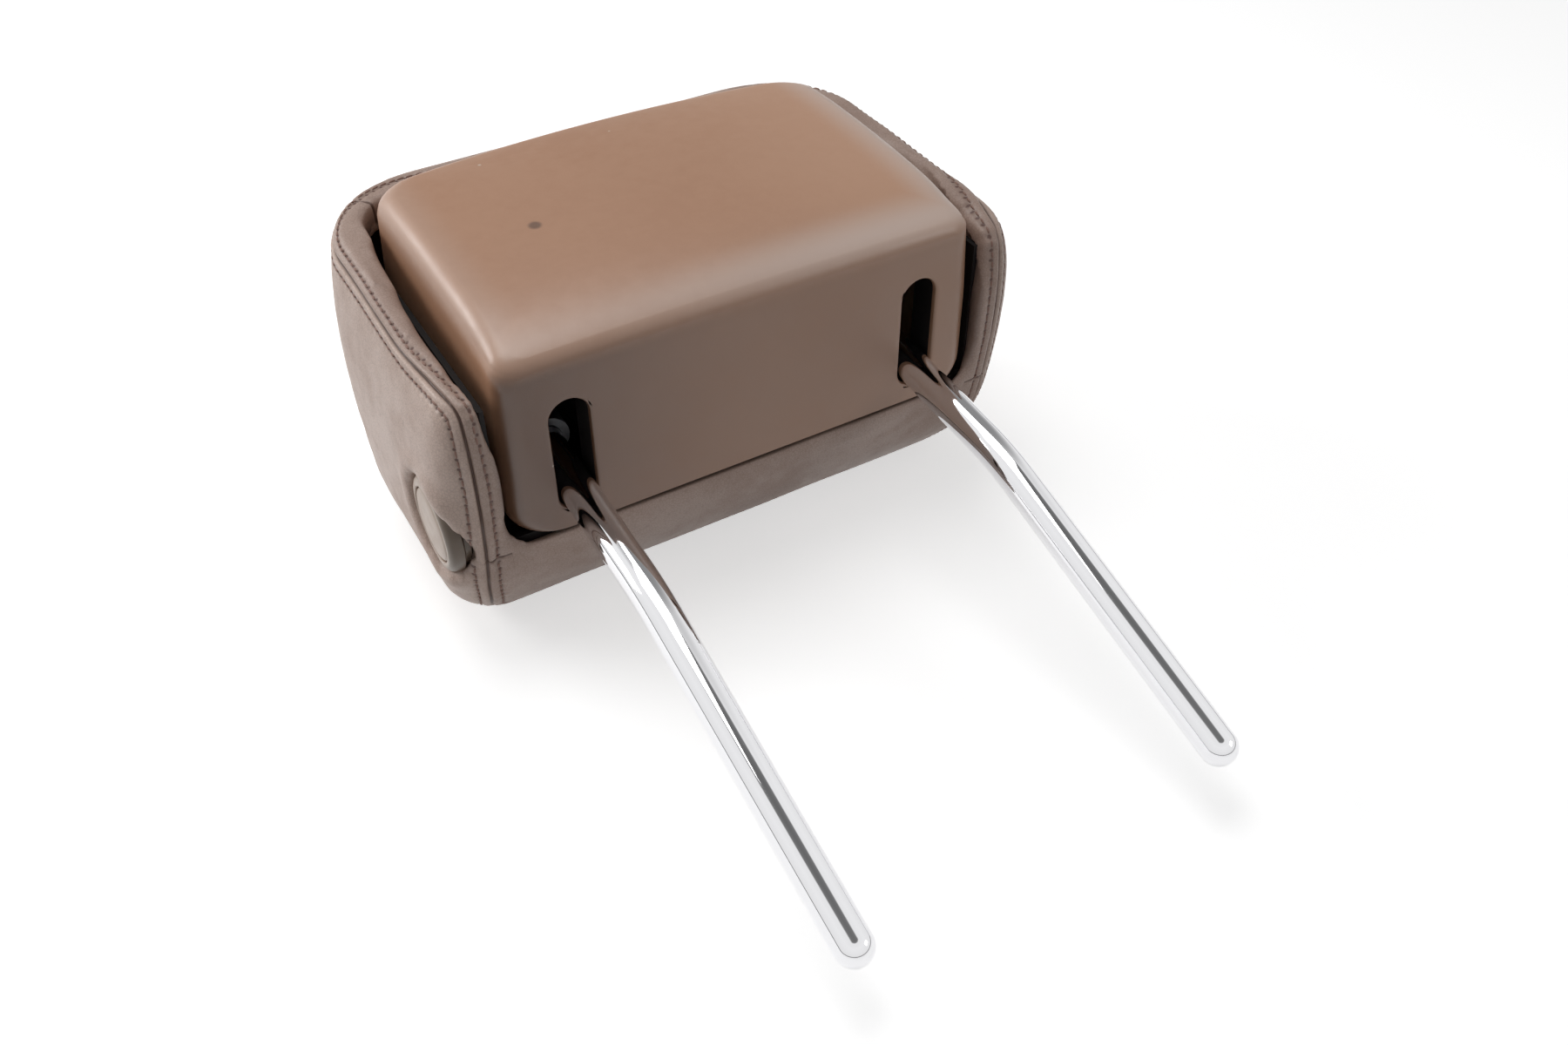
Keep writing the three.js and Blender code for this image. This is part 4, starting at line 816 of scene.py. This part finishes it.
def turned(name, profile, segments=96):
    """Spins a profile of (radius, x) points round the button's axis."""
    bm = bmesh.new()
    axis_point = Vector((0, BUTTON_Y, BUTTON_HEIGHT)) * MM
    verts = [bm.verts.new(Vector((x, BUTTON_Y, BUTTON_HEIGHT + r)) * MM) for r, x in profile]
    edges = [bm.edges.new(pair) for pair in zip(verts, verts[1:])]
    if profile[0][0] > 0:
        edges.append(bm.edges.new((verts[-1], verts[0])))
    bmesh.ops.spin(bm, geom=verts + edges, cent=axis_point, axis=(1, 0, 0), dvec=(0, 0, 0),
                   angle=2 * math.pi, steps=segments, use_merge=True, use_duplicate=False)
    bmesh.ops.remove_doubles(bm, verts=bm.verts[:], dist=1e-6)
    bmesh.ops.recalc_face_normals(bm, faces=bm.faces[:])
    return to_object(bm, name, 32)


face = -BUTTON_FACE
cap = turned("release_cap", [
    (0, face), (5, face + 0.03), (9, face + 0.15), (12, face + 0.42), (13.6, face + 0.8),
    (14.4, face + 1.3), (BUTTON_RADIUS, face + 2.1), (BUTTON_RADIUS, face + 4.1),
    (8.5, face + 4.1), (8.5, face + 9.6), (3.3, face + 9.6), (3.3, face + 4.6), (0, face + 4.6)])
ring = turned("button_ring", [
    (15.1, face + 1.1), (15.35, face + 0.8), (15.8, face + 0.7), (17.2, face + 0.9),
    (18.5, face + 1.6), (19.2, face + 2.4), (BEZEL_RADIUS, face + 3.4), (BEZEL_RADIUS, face + 6.3),
    (17.5, face + 7.3), (17.5, -117), (12, -117), (12, -108.8), (9.5, -108.8),
    (9.5, face + 8.0), (15.1, face + 8.0)])
for piece, body, cad_name in ((cap, "release_button", "release_button"), (ring, "head", "button_bezel")):
    piece.data.materials.append(button_finish)
    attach(piece, body)
    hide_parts(cad_name)
print("button:", len(cap.data.polygons), "ring:", len(ring.data.polygons))

# %% [markdown]
# The padded head. On the real one, foam is covered by sewn leather: a main panel round the front
# and the sides, a narrow band between the seam and the pocket of the rear cover, and a panel below.
# It is one closed padded form here. Its outer shape is a skin through rings, cutters leave the
# pocket and the button's hole, and an even voxel mesh makes it ready for the cloth step.

# %% Cushion sizes
HALF_WIDTH, RIM_HEIGHT, TOP_Y = 126.8, 133.3, 175.7
WING_Y, WING_BOW, WING_BOW_HEIGHT = 16.3, 0.0021, 95
WIDEST_HEIGHT, REAR_DRAFT = 79, 8.7
SIDE_EDGE, LOWER_EDGE, UPPER_EDGE = (26.6, 38.1), (23.1, 45.6), (69.9, 65.3)
LOWER_CORNERS, UPPER_CORNERS = (21.1, 16.7), (60, 47.3)
RIM_ROUND, RIM_ROUND_DEPTH = 3, 10
POCKET_HALF_WIDTH, POCKET_TOP_Y, POCKET_CORNER = 106.9, 165.0, 16
POCKET_LOW_Y, POCKET_FLOOR, GAP_FLOOR = 23.8, 50.5, 56.9
PAN_RIM, PAN_LOW_Y = 118.6, 24.3
# Half the width between the leather's inner edges: on the rim at places along the head, and on the
# lower face at heights, where the leather closes in on the foot of the cover.
RIM_WIDTHS = [(-60, 106.6), (17, 106.6), (37, 108.0), (60, 109.0), (85, 108.6), (120, 106.2),
              (150, 103.6), (200, 103.0)]
FOOT_WIDTHS = [(0, 103.7), (92, 103.7), (118, 106.6)]
FOOT_CORNER, FOOT_FLOOR = 14, 55.3
CUSHION_LEVELS = (0, 0.6, 2.2, 5, 9, 14, 20, 27, 36, 46, 56, 66, 79, 92, 104, 114, 122, 127, 130.3,
                  132.4, RIM_HEIGHT)
CUSHION_COUNTS = (10, 10, 16, 16, 10)
# Heights of the rim at places along the head, from its lower end.
RIM_FALL = [(15, 123.3), (72, 131.0), (102, 133.3)]
BEFORE_SWELLING = 0.7
# Above every shape, so that a cutter goes right through.
CLEAR_ABOVE = 220
# Radius, start and end along X of the room for the button's ring and for its tube.
BUTTON_ROOMS = ((20.1, -180, -116.4), (12.6, -120, -100))
VOXEL = 3.0


def width_at(places, table):
    return np.interp(places, *zip(*table))


def rim_share(y):
    """The rim falls towards its lower end."""
    return float(width_at(y, RIM_FALL)) / RIM_HEIGHT


def cushion_ring(level, inset):
    rise = level / RIM_HEIGHT
    above = max(level - WIDEST_HEIGHT, 0)
    draft = REAR_DRAFT * (above / (RIM_HEIGHT - WIDEST_HEIGHT)) ** 2
    rim = eased_edge(RIM_ROUND, RIM_ROUND_DEPTH, RIM_HEIGHT - level)
    side = eased_edge(*SIDE_EDGE, level) + draft + rim
    upper = eased_edge(*UPPER_EDGE, level) + rim
    lower = eased_edge(*LOWER_EDGE, level) + WING_BOW * (level - WING_BOW_HEIGHT) ** 2 + rim
    radii = [lerp(*pair, rise) - 0.4 * side - inset for pair in (LOWER_CORNERS, UPPER_CORNERS)]
    low, high = WING_Y + lower + inset, TOP_Y - upper - inset
    flat = rounded_outline(HALF_WIDTH - side - inset, low, high, *radii, CUSHION_COUNTS)
    scale = 1 - inset / RIM_HEIGHT
    return [(x, y, level * scale * (1 + (rim_share(y) - 1) * rise ** 3)) for x, y in flat]


def raised_pocket(low_y, floor, ceiling, widths=None, arch=0.0):
    """The pocket's plan, raised from its floor. Its sides may follow a table of widths, and its
    upper edge the cover's arch."""
    plan = rounded_outline(
        POCKET_HALF_WIDTH, low_y, POCKET_TOP_Y, 0.5, POCKET_CORNER, (2, 2, 24, 12, 16))
    if widths:
        plan = [(x * width_at(y, widths) / POCKET_HALF_WIDTH, y) for x, y in plan]
    plan = arched(plan, arch, POCKET_TOP_Y)
    bm = bmesh.new()
    stretch_skin(bm, [[(x, y, z) for x, y in plan] for z in (floor, ceiling)])
    return bm


def foot_room():
    """The opening in the lower face, with round corners like the cover's own."""
    half_width = FOOT_WIDTHS[0][1]
    front = rounded_outline(half_width, FOOT_FLOOR, CLEAR_ABOVE, FOOT_CORNER, 0.5, (6, 8, 30, 2, 6))
    front = [(x * width_at(z, FOOT_WIDTHS) / half_width, z) for x, z in front]
    bm = bmesh.new()
    stretch_skin(bm, [[(x, y, z) for x, z in front] for y in (-60, PAN_LOW_Y + 0.1)])
    return bm


cushion_shape = bmesh.new()
stretch_skin(cushion_shape, [cushion_ring(level, BEFORE_SWELLING) for level in CUSHION_LEVELS])
cushion = to_object(cushion_shape, "leather_head")
cut_away(cushion, raised_pocket(POCKET_LOW_Y, POCKET_FLOOR, PAN_RIM), "pan_room")
cut_away(cushion, foot_room(), "foot_room")
lip_room = raised_pocket(PAN_LOW_Y, PAN_RIM - 1, CLEAR_ABOVE, RIM_WIDTHS, arch=COVER_ARCH)
cut_away(cushion, lip_room, "lip_room")
for radius, start, end in BUTTON_ROOMS:
    button_room = bmesh.new()
    length = end - start
    middle = Vector((start + length / 2, BUTTON_Y, BUTTON_HEIGHT)) * MM
    place = Matrix.Translation(middle) @ Matrix.Rotation(math.pi / 2, 4, "Y")
    bmesh.ops.create_cone(button_room, cap_ends=True, segments=48, radius1=radius * MM,
                          radius2=radius * MM, depth=length * MM, matrix=place)
    cut_away(cushion, button_room, "button_room")

even = cushion.modifiers.new("even_mesh", "REMESH")
even.mode, even.voxel_size = "VOXEL", VOXEL * MM
apply_modifiers(cushion)
print("even mesh:", len(cushion.data.vertices), "points")

# %% [markdown]
# The seam is a closed line on the form. Rays find it: straight down on the rim, and fanned from a
# point inside on the wings and the lower side. Every point of the skin then knows how far it is from
# the seam, and how far along it, which places the fold, the two stitch rows and their needle holes.

# %% Seam line
SEAM_HALF_WIDTH, SEAM_LOW_HALF_WIDTH, SEAM_FRONT_HALF_WIDTH = 118.9, 113.2, 110.5
SEAM_TOP_Y, SEAM_CORNER, SEAM_WIDE_FROM = 171.1, 42, 74
FAN_CENTRE_Y, FAN_CENTRE_Z = 60, 80
FAN_REACH, TURN_IN = 150, 12
STITCH_PITCH, ROW_OFFSET = 4.1, 4.5


def all_of(rows, key):
    flat = np.empty(len(rows) * 3, np.float32)
    rows.foreach_get(key, flat)
    return flat.reshape(-1, 3)


def coordinates(mesh):
    return all_of(mesh.vertices, "co") / MM


def set_coordinates(mesh, places):
    mesh.vertices.foreach_set("co", (np.asarray(places, np.float32) * MM).ravel())
    mesh.update()


def unit(rows):
    return rows / np.linalg.norm(rows, axis=1, keepdims=True)


def surface_tree(mesh):
    points = [Vector(c) for c in coordinates(mesh)]
    return BVHTree.FromPolygons(points, [tuple(p.vertices) for p in mesh.polygons])


def seam_rays():
    """Rays (start, direction) along the right half of the seam, from the front to the top."""
    rays = []
    quarter = math.pi / 2
    start = math.radians(-78)
    fan = [(x, start) for x in np.linspace(0, SEAM_FRONT_HALF_WIDTH - TURN_IN, 60)]
    for t in np.linspace(0, 1, 16)[1:]:
        x = SEAM_FRONT_HALF_WIDTH - TURN_IN * (1 - math.sin(t * quarter))
        fan.append((x, start + math.radians(8) * t * t))
    for angle in np.radians(np.linspace(-69, 49, 100)):
        spread = math.sin(min((math.degrees(angle) + 69) / 22, 1) * quarter)
        fan.append((lerp(SEAM_FRONT_HALF_WIDTH, SEAM_LOW_HALF_WIDTH, spread), angle))
    for x, angle in fan:
        outwards = Vector((0, -math.cos(angle), math.sin(angle)))
        centre = Vector((x, FAN_CENTRE_Y, FAN_CENTRE_Z))
        rays.append((centre + outwards * FAN_REACH, -outwards))
    plan = []
    for t in np.linspace(0, 1, 60):
        y = lerp(25, SEAM_TOP_Y - SEAM_CORNER, t)
        wide = math.sin(min((y - 23) / (SEAM_WIDE_FROM - 23), 1) * quarter)
        plan.append((lerp(SEAM_LOW_HALF_WIDTH, SEAM_HALF_WIDTH, wide), y))
    for turn in np.linspace(0, quarter, 60)[1:]:
        plan.append((SEAM_HALF_WIDTH - SEAM_CORNER * (1 - math.cos(turn)),
                     SEAM_TOP_Y - SEAM_CORNER * (1 - math.sin(turn))))
    plan += [(x, SEAM_TOP_Y) for x in np.linspace(SEAM_HALF_WIDTH - SEAM_CORNER, 0, 60)[1:]]
    return rays + [(Vector((x, y, CLEAR_ABOVE)), Vector((0, 0, -1))) for x, y in plan]


def seam_on(tree):
    """The closed seam line as evenly spaced points, with the surface's normal at each."""
    half = []
    for start, direction in seam_rays():
        place, normal, _, _ = tree.ray_cast(start, direction)
        half.append((*place, *normal))
    half = np.array(half)
    mirrored = half[::-1][1:-1] * np.array([-1, 1, 1, -1, 1, 1])
    loop = np.vstack([half, mirrored, half[:1]])
    for _ in range(4):
        loop[1:-1] = (loop[:-2] + 2 * loop[1:-1] + loop[2:]) / 4
    steps = np.linalg.norm(np.diff(loop[:, :3], axis=0), axis=1)
    run = np.concatenate([[0], np.cumsum(steps)])
    stitches = round(run[-1] / STITCH_PITCH)
    along = np.linspace(0, run[-1], stitches * 4 + 1)
    even_loop = np.column_stack([np.interp(along, run, loop[:, k]) for k in range(6)])
    for _ in range(40):
        ring = even_loop[:-1, 3:]
        even_loop[:-1, 3:] = (np.roll(ring, 1, axis=0) + 2 * ring + np.roll(ring, -1, axis=0)) / 4
    even_loop[-1, 3:] = even_loop[0, 3:]
    even_loop[:, 3:] = unit(even_loop[:, 3:])
    return even_loop, along, stitches


def seam_frame(loop):
    """Direction along the seam, and the direction across it towards the pocket."""
    points, facing = loop[:-1, :3], loop[:-1, 3:]
    tangent = unit(np.roll(points, -1, axis=0) - np.roll(points, 1, axis=0))
    return tangent, unit(np.cross(facing, tangent))


def seam_fields(places, loop, along):
    """For each point: signed distance from the seam, distance along it, and 1 where it is near."""
    tree = KDTree(len(loop) - 1)
    for i, row in enumerate(loop[:-1]):
        tree.insert(row[:3], i)
    tree.balance()
    tangent, inward = seam_frame(loop)
    nearest = np.array([tree.find(p)[1] for p in places])
    offset = places - loop[nearest, :3]
    slide = np.einsum("ij,ij->i", offset, tangent[nearest])
    rest = offset - slide[:, None] * tangent[nearest]
    distance = np.linalg.norm(rest, axis=1)
    sign = np.where(np.einsum("ij,ij->i", offset, inward[nearest]) >= 0, 1.0, -1.0)
    near = np.clip((12 - np.linalg.norm(offset, axis=1)) / 2, 0, 1)
    return distance * sign, along[nearest] + slide, near


first_loop, first_along, stitch_count = seam_on(surface_tree(cushion.data))
print("seam length mm:", round(first_along[-1]), "stitches in a row:", stitch_count)

# %% [markdown]
# Foam under leather is firm, so it swells only a little between the places where the cover is sewn
# or held: the seam, the pocket's walls, the hole for the button, and the face that the head lies on.
# The cloth step blows the form up gently, and a cap keeps every point close to where it started.

# %% Foam pressure
PRESSURE, SIM_FRAMES, SWELL_LIMIT = 4.0, 20, 2.2
HELD_MARGIN, HELD_AT_BUTTON, HELD_AT_SEAM = 1.2, 22.5, 2.6


def is_held(places, signed, near):
    x, y, z = np.abs(places[:, 0]), places[:, 1], places[:, 2]
    half_width = np.maximum(width_at(y, RIM_WIDTHS), POCKET_HALF_WIDTH)
    in_plan = (x < half_width + HELD_MARGIN) & (y < POCKET_TOP_Y + HELD_MARGIN)
    in_pan = (y > POCKET_LOW_Y - HELD_MARGIN) & (z > POCKET_FLOOR - 1)
    pocket = in_plan & ((z > GAP_FLOOR - 1) | in_pan)
    from_axis = np.hypot(y - BUTTON_Y, z - BUTTON_HEIGHT)
    button = (from_axis < HELD_AT_BUTTON) & (places[:, 0] < -100)
    return pocket | button | (z < 1) | ((np.abs(signed) < HELD_AT_SEAM) & (near > 0.9))


rest_places = coordinates(cushion.data)
signed, _, near = seam_fields(rest_places, first_loop, first_along)
held = is_held(rest_places, signed, near)
pins = cushion.vertex_groups.new(name="held")
pins.add([int(i) for i in np.flatnonzero(held)], 1.0, "REPLACE")
cloth = cushion.modifiers.new("swelling", "CLOTH")
cloth.settings.quality = 4
cloth.settings.use_pressure = True
cloth.settings.uniform_pressure_force = PRESSURE
cloth.settings.effector_weights.gravity = 0
cloth.settings.vertex_group_mass = pins.name
cloth.collision_settings.use_collision = False
cloth.point_cache.frame_start, cloth.point_cache.frame_end = 1, SIM_FRAMES
for frame_number in range(1, SIM_FRAMES + 1):
    scene.frame_set(frame_number)
apply_modifiers(cushion)
cushion.vertex_groups.clear()
scene.frame_set(1)
moved = coordinates(cushion.data) - rest_places
length = np.linalg.norm(moved, axis=1, keepdims=True)
print("cloth moves mm, most and mean:", *(round(float(v), 2) for v in (length.max(), length.mean())))
moved *= SWELL_LIMIT * np.tanh(length / SWELL_LIMIT) / np.maximum(length, 1e-6)
set_coordinates(cushion.data, rest_places + moved)
print("points held:", int(held.sum()), "of", len(held))

# %% [markdown]
# The seam's fold is narrower than a face of the even mesh. So every face is split once, and the ones
# in a strip along the seam twice more, where the fold, the stitch rows and the puckers will be.

# %% Fine surface
STRIP = 8.0

fine = cushion.modifiers.new("fine", "SUBSURF")
fine.levels = fine.render_levels = 1
apply_modifiers(cushion)
loop, along = seam_on(surface_tree(cushion.data))[:2]
signed, _, near = seam_fields(coordinates(cushion.data), loop, along)
strip = (np.abs(signed) < STRIP) & (near > 0)
edited = bmesh.new()
edited.from_mesh(cushion.data)
edited.verts.ensure_lookup_table()
before = len(edited.verts)
strip_edges = [e for e in edited.edges if strip[e.verts[0].index] and strip[e.verts[1].index]]
bmesh.ops.subdivide_edges(edited, edges=strip_edges, cuts=2, use_grid_fill=True)
edited.verts.ensure_lookup_table()
for _ in range(4):
    bmesh.ops.smooth_vert(edited, verts=edited.verts[before:], factor=0.5, use_axis_x=True,
                          use_axis_y=True, use_axis_z=True)
edited.to_mesh(cushion.data)
edited.free()
print("leather faces:", len(cushion.data.polygons))
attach(cushion, "head")
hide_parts("main_panel", "rear_band", "bottom_panel", "foam_core")

# %% [markdown]
# The seam is found once more on the swollen, finer surface. The seam itself is a deep narrow fold,
# each stitch row is a shallow one, and the leather puckers a little between holes. Each point of the
# skin gets three numbers as attributes, which say to the leather's material where the folds are.

# %% Seam relief
SEAM_DEPTH, SEAM_WIDTH = 1.4, 0.7
SEAM_EDGE, SEAM_EDGE_AWAY = 0.3, 1.9
ROW_DEPTH, ROW_WIDTH, PUCKER, PUCKER_WIDTH = 0.4, 0.9, 0.12, 2.0
# The cross seams join the band to the panels: one at a height on each wing, and one that runs
# slantwise over each upper corner.
CROSS_DEPTH, NO_CROSS = 0.9, 30.0
LOWER_CROSS_HEIGHT, LOWER_CROSS_FROM, LOWER_CROSS_END = 53.4, 103.0, 34
UPPER_CROSS_LINE, UPPER_CROSS_FROM, UPPER_CROSS_ABOVE = 59.0, 110, 100
# The leather swells round the button, most on its lower side, and at the far right corner.
BUTTON_SWELL, SWELL_FROM_AXIS, SWELL_WIDTH, SWELL_LEAST = 3.5, 24.0, 5.0, 0.35
FAR_SWELL, FAR_PLACE, FAR_REACH, FAR_EDGE = 3.2, (122, 42, 122), 26.0, 8
SLOW_WAVE, SLOW_WAVE_SIZE = 0.35, 34


def bell(values, width=1.0):
    """1 at nought, and less and less away from it."""
    return np.exp(-(values / width) ** 2)


loop, along = seam_on(surface_tree(cushion.data))[:2]
pitch = along[-1] / stitch_count
places, facing = coordinates(cushion.data), all_of(cushion.data.vertex_normals, "vector")
signed, run, near = seam_fields(places, loop, along)
x, y, z = np.abs(places[:, 0]), places[:, 1], places[:, 2]
away = np.abs(signed)

cross = np.full(len(places), NO_CROSS)
in_band = signed > -1
low_zone = (x > LOWER_CROSS_FROM) & (y < LOWER_CROSS_END) & in_band
high_zone = (y > UPPER_CROSS_FROM) & (z > UPPER_CROSS_ABOVE) & in_band
cross[low_zone] = (z - LOWER_CROSS_HEIGHT)[low_zone]
cross[high_zone] = ((x - y + UPPER_CROSS_LINE) / math.sqrt(2))[high_zone]

fold = SEAM_EDGE * bell(away - SEAM_EDGE_AWAY) - SEAM_DEPTH * bell(signed, SEAM_WIDTH)
rows = ROW_DEPTH * bell(away - ROW_OFFSET, ROW_WIDTH)
ripple = -PUCKER * np.cos(2 * np.pi * run / pitch) * bell(away - ROW_OFFSET, PUCKER_WIDTH)
height = near * (fold - rows + ripple)
height -= CROSS_DEPTH * bell(cross, SEAM_WIDTH) * np.clip(signed + 1, 0, 1)
slow = np.array([solid_noise.noise(Vector(p) / SLOW_WAVE_SIZE) for p in places])
height += SLOW_WAVE * slow * (z > 2)
height += FAR_SWELL * bell(np.linalg.norm(places - FAR_PLACE, axis=1), FAR_REACH) * (signed < FAR_EDGE)
from_axis = np.hypot(y - BUTTON_Y, z - BUTTON_HEIGHT)
lower_side = np.clip((BUTTON_Y - y) / np.maximum(from_axis, 1), 0, 1)
swell = BUTTON_SWELL * lerp(SWELL_LEAST, 1, lower_side)
swell = swell * bell(from_axis - SWELL_FROM_AXIS, SWELL_WIDTH) * np.clip(-facing[:, 0], 0, 1)
height += swell * (places[:, 0] < -110) * (from_axis > 19)
set_coordinates(cushion.data, places + facing * height[:, None])

layers = {"seam_away": np.where(near > 0, signed, NO_CROSS * np.sign(signed)),
          "seam_run": run / pitch, "cross_away": cross}
for label, values in layers.items():
    layer = cushion.data.attributes.new(label, "FLOAT", "POINT")
    layer.data.foreach_set("value", np.asarray(values, np.float32))
cushion.data.shade_smooth()
print("pitch mm:", round(pitch, 2), "points in the fold:", int((fold < -0.5).sum()))

# %% [markdown]
# Each stitch is a short bead of thread that dips into the leather at both ends: a small ball,
# stretched along the seam and sunk half way. There are a few hundred, so each has few faces.

# %% Stitches
THREAD_RADIUS, STITCH_LENGTH, SUNK = 0.5, 3.1, 0.05
# No stitch is laid where the leather closes in on the button's ring.
CLEAR_OF_BUTTON = 21.5


def sew(name):
    tree = surface_tree(cushion.data)
    tangent, inward = seam_frame(loop)
    bead = bmesh.new()
    bmesh.ops.create_uvsphere(bead, u_segments=8, v_segments=6, radius=1)
    bead_mesh = bpy.data.meshes.new("bead")
    bead.to_mesh(bead_mesh)
    bead.free()
    bead_points = coordinates(bead_mesh) * MM
    size = np.array((STITCH_LENGTH / 2, THREAD_RADIUS, THREAD_RADIUS))
    bm = bmesh.new()
    laid = []
    for i in range(2, stitch_count * 4, 4):
        for side in (-1, 1):
            wanted = loop[i, :3] + inward[i] * ROW_OFFSET * side
            from_axis = math.hypot(wanted[1] - BUTTON_Y, wanted[2] - BUTTON_HEIGHT)
            if wanted[0] < -100 and from_axis < CLEAR_OF_BUTTON:
                continue
            place, normal, _, _ = tree.find_nearest(Vector(wanted))
            forward = Vector(tangent[i])
            forward = (forward - normal * forward.dot(normal)).normalized()
            turn = np.array((forward, normal.cross(forward), normal))
            laid.append((bead_points * size) @ turn + np.array(place - normal * SUNK))
            bm.from_mesh(bead_mesh)
    bpy.data.meshes.remove(bead_mesh)
    made = to_object(bm, name, 180)
    set_coordinates(made.data, np.vstack(laid))
    return made


stitches = sew("seam_stitches")
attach(stitches, "head")
print("stitch faces:", len(stitches.data.polygons))

# %% [markdown]
# The leather is smooth grained hide with a thin worn coat. Its tone drifts slowly, the folds and the
# needle holes hold dirt, and fine cells with a few larger creases make the relief. The folds follow
# the attributes from the seam, so they stay on the seam from any side.

# %% Leather finish
LEATHER_LIGHT, LEATHER_DARK = linear(194, 172, 160), linear(174, 151, 139)
BAND_TONE, BAND_SHADE = linear(110, 82, 70), 0.34
# The last of the three colours on the next line is painted shade for the gap beside the cover; the
# others are dirt and needle holes.
DIRT, HOLE, GAP_PAINTED_SHADE = linear(84, 62, 52), linear(84, 56, 48), linear(52, 38, 34)
LINT = linear(214, 204, 192)
# Painted shade darkens the leather that turns down into the gap beside the cover: from a distance
# inside the seam, in millimetres, and between heights, in metres.
GAP_SHADE_FROM_SEAM, GAP_SHADE_FLOOR, GAP_SHADE_CEILING = (6.0, 12.0), (0.058, 0.070), (0.130, 0.118)


def attribute(tree, label):
    return node(tree, "Attribute", attribute_name=label).outputs["Fac"]


leather_finish, tree, shader, position = start_finish("leather", 0.46, specular=0.42)
grain = effect(tree, "grain", position, Cells_per_metre=820.0)
tone = effect(
    tree, "mottle", position, Light_tone=LEATHER_LIGHT, Dark_tone=LEATHER_DARK, Amount=0.8)
dust = effect(tree, "specks", position, Per_metre=90.0, Share=0.12, Size=0.04)
side_of_seam = attribute(tree, "seam_away")
away = calc(tree, "ABSOLUTE", side_of_seam)
from_row = calc(tree, "ABSOLUTE", minus(tree, away, ROW_OFFSET))
from_middle = minus(tree, calc(tree, "FRACT", attribute(tree, "seam_run")), 0.5)
from_hole = times(tree, minus(tree, 0.5, calc(tree, "ABSOLUTE", from_middle)), ROW_OFFSET)
hole = fade(tree, diagonal(tree, from_row, from_hole), 0.4, 0.95, 0.9, 0.0)
fold_dirt = fade(tree, away, 0.25, 0.9, 1.0, 0.0)
row_dirt = fade(tree, from_row, 0.2, 1.5, 0.28, 0.0)
from_cross = calc(tree, "ABSOLUTE", attribute(tree, "cross_away"))
cross_dirt = fade(tree, from_cross, 0.25, 0.9, 0.9, 0.0)
dirt = highest(tree, fold_dirt, row_dirt, cross_dirt, times(tree, grain["Valley"], 0.22))
dusty = mix_colour(tree, times(tree, dust["Mask"], 0.5), tone["Tone"], LINT)
in_band = fade(tree, side_of_seam, 0.0, 1.0, 0.0, BAND_SHADE)
shaded_band = mix_colour(tree, in_band, dusty, BAND_TONE)
z = axes_of(tree, position)["Z"]
# Painted shade: the leather that turns down into the gap is coloured nearly black.
deep = times(tree, fade(tree, side_of_seam, *GAP_SHADE_FROM_SEAM, 0.0, 0.88), fade(tree, z, *GAP_SHADE_FLOOR))
deep = times(tree, deep, fade(tree, z, *GAP_SHADE_CEILING))
dirt_and_gap_shade = mix_colour(tree, dirt, mix_colour(tree, deep, shaded_band, GAP_PAINTED_SHADE), DIRT)
feed(tree, shader["Base Color"], mix_colour(tree, hole, dirt_and_gap_shade, HOLE))
feed(tree, shader["Roughness"], fade(tree, tone["Cloud"], 0.0, 1.0, 0.40, 0.54))
creases = noise(tree, position, 4.5, 4.0, 0.6)
skin_height = plus(tree, times(tree, grain["Height"], 0.7), times(tree, creases, 0.5))
skin_height = minus(tree, skin_height, times(tree, hole, 2.0))
feed(tree, shader["Normal"], relief(tree, skin_height, 0.55, 0.12))
cushion.data.materials.clear()
cushion.data.materials.append(leather_finish)

thread_finish, tree, shader, position = start_finish("thread", 0.6, specular=0.3)
fibres = noise(tree, position, 0.3, 2.0)
thread = mix_colour(tree, fibres, linear(122, 92, 82), linear(158, 130, 118))
feed(tree, shader["Base Color"], thread)
feed(tree, shader["Normal"], relief(tree, fibres, 0.5, 0.1))
stitches.data.materials.append(thread_finish)
print("leather and thread ready")
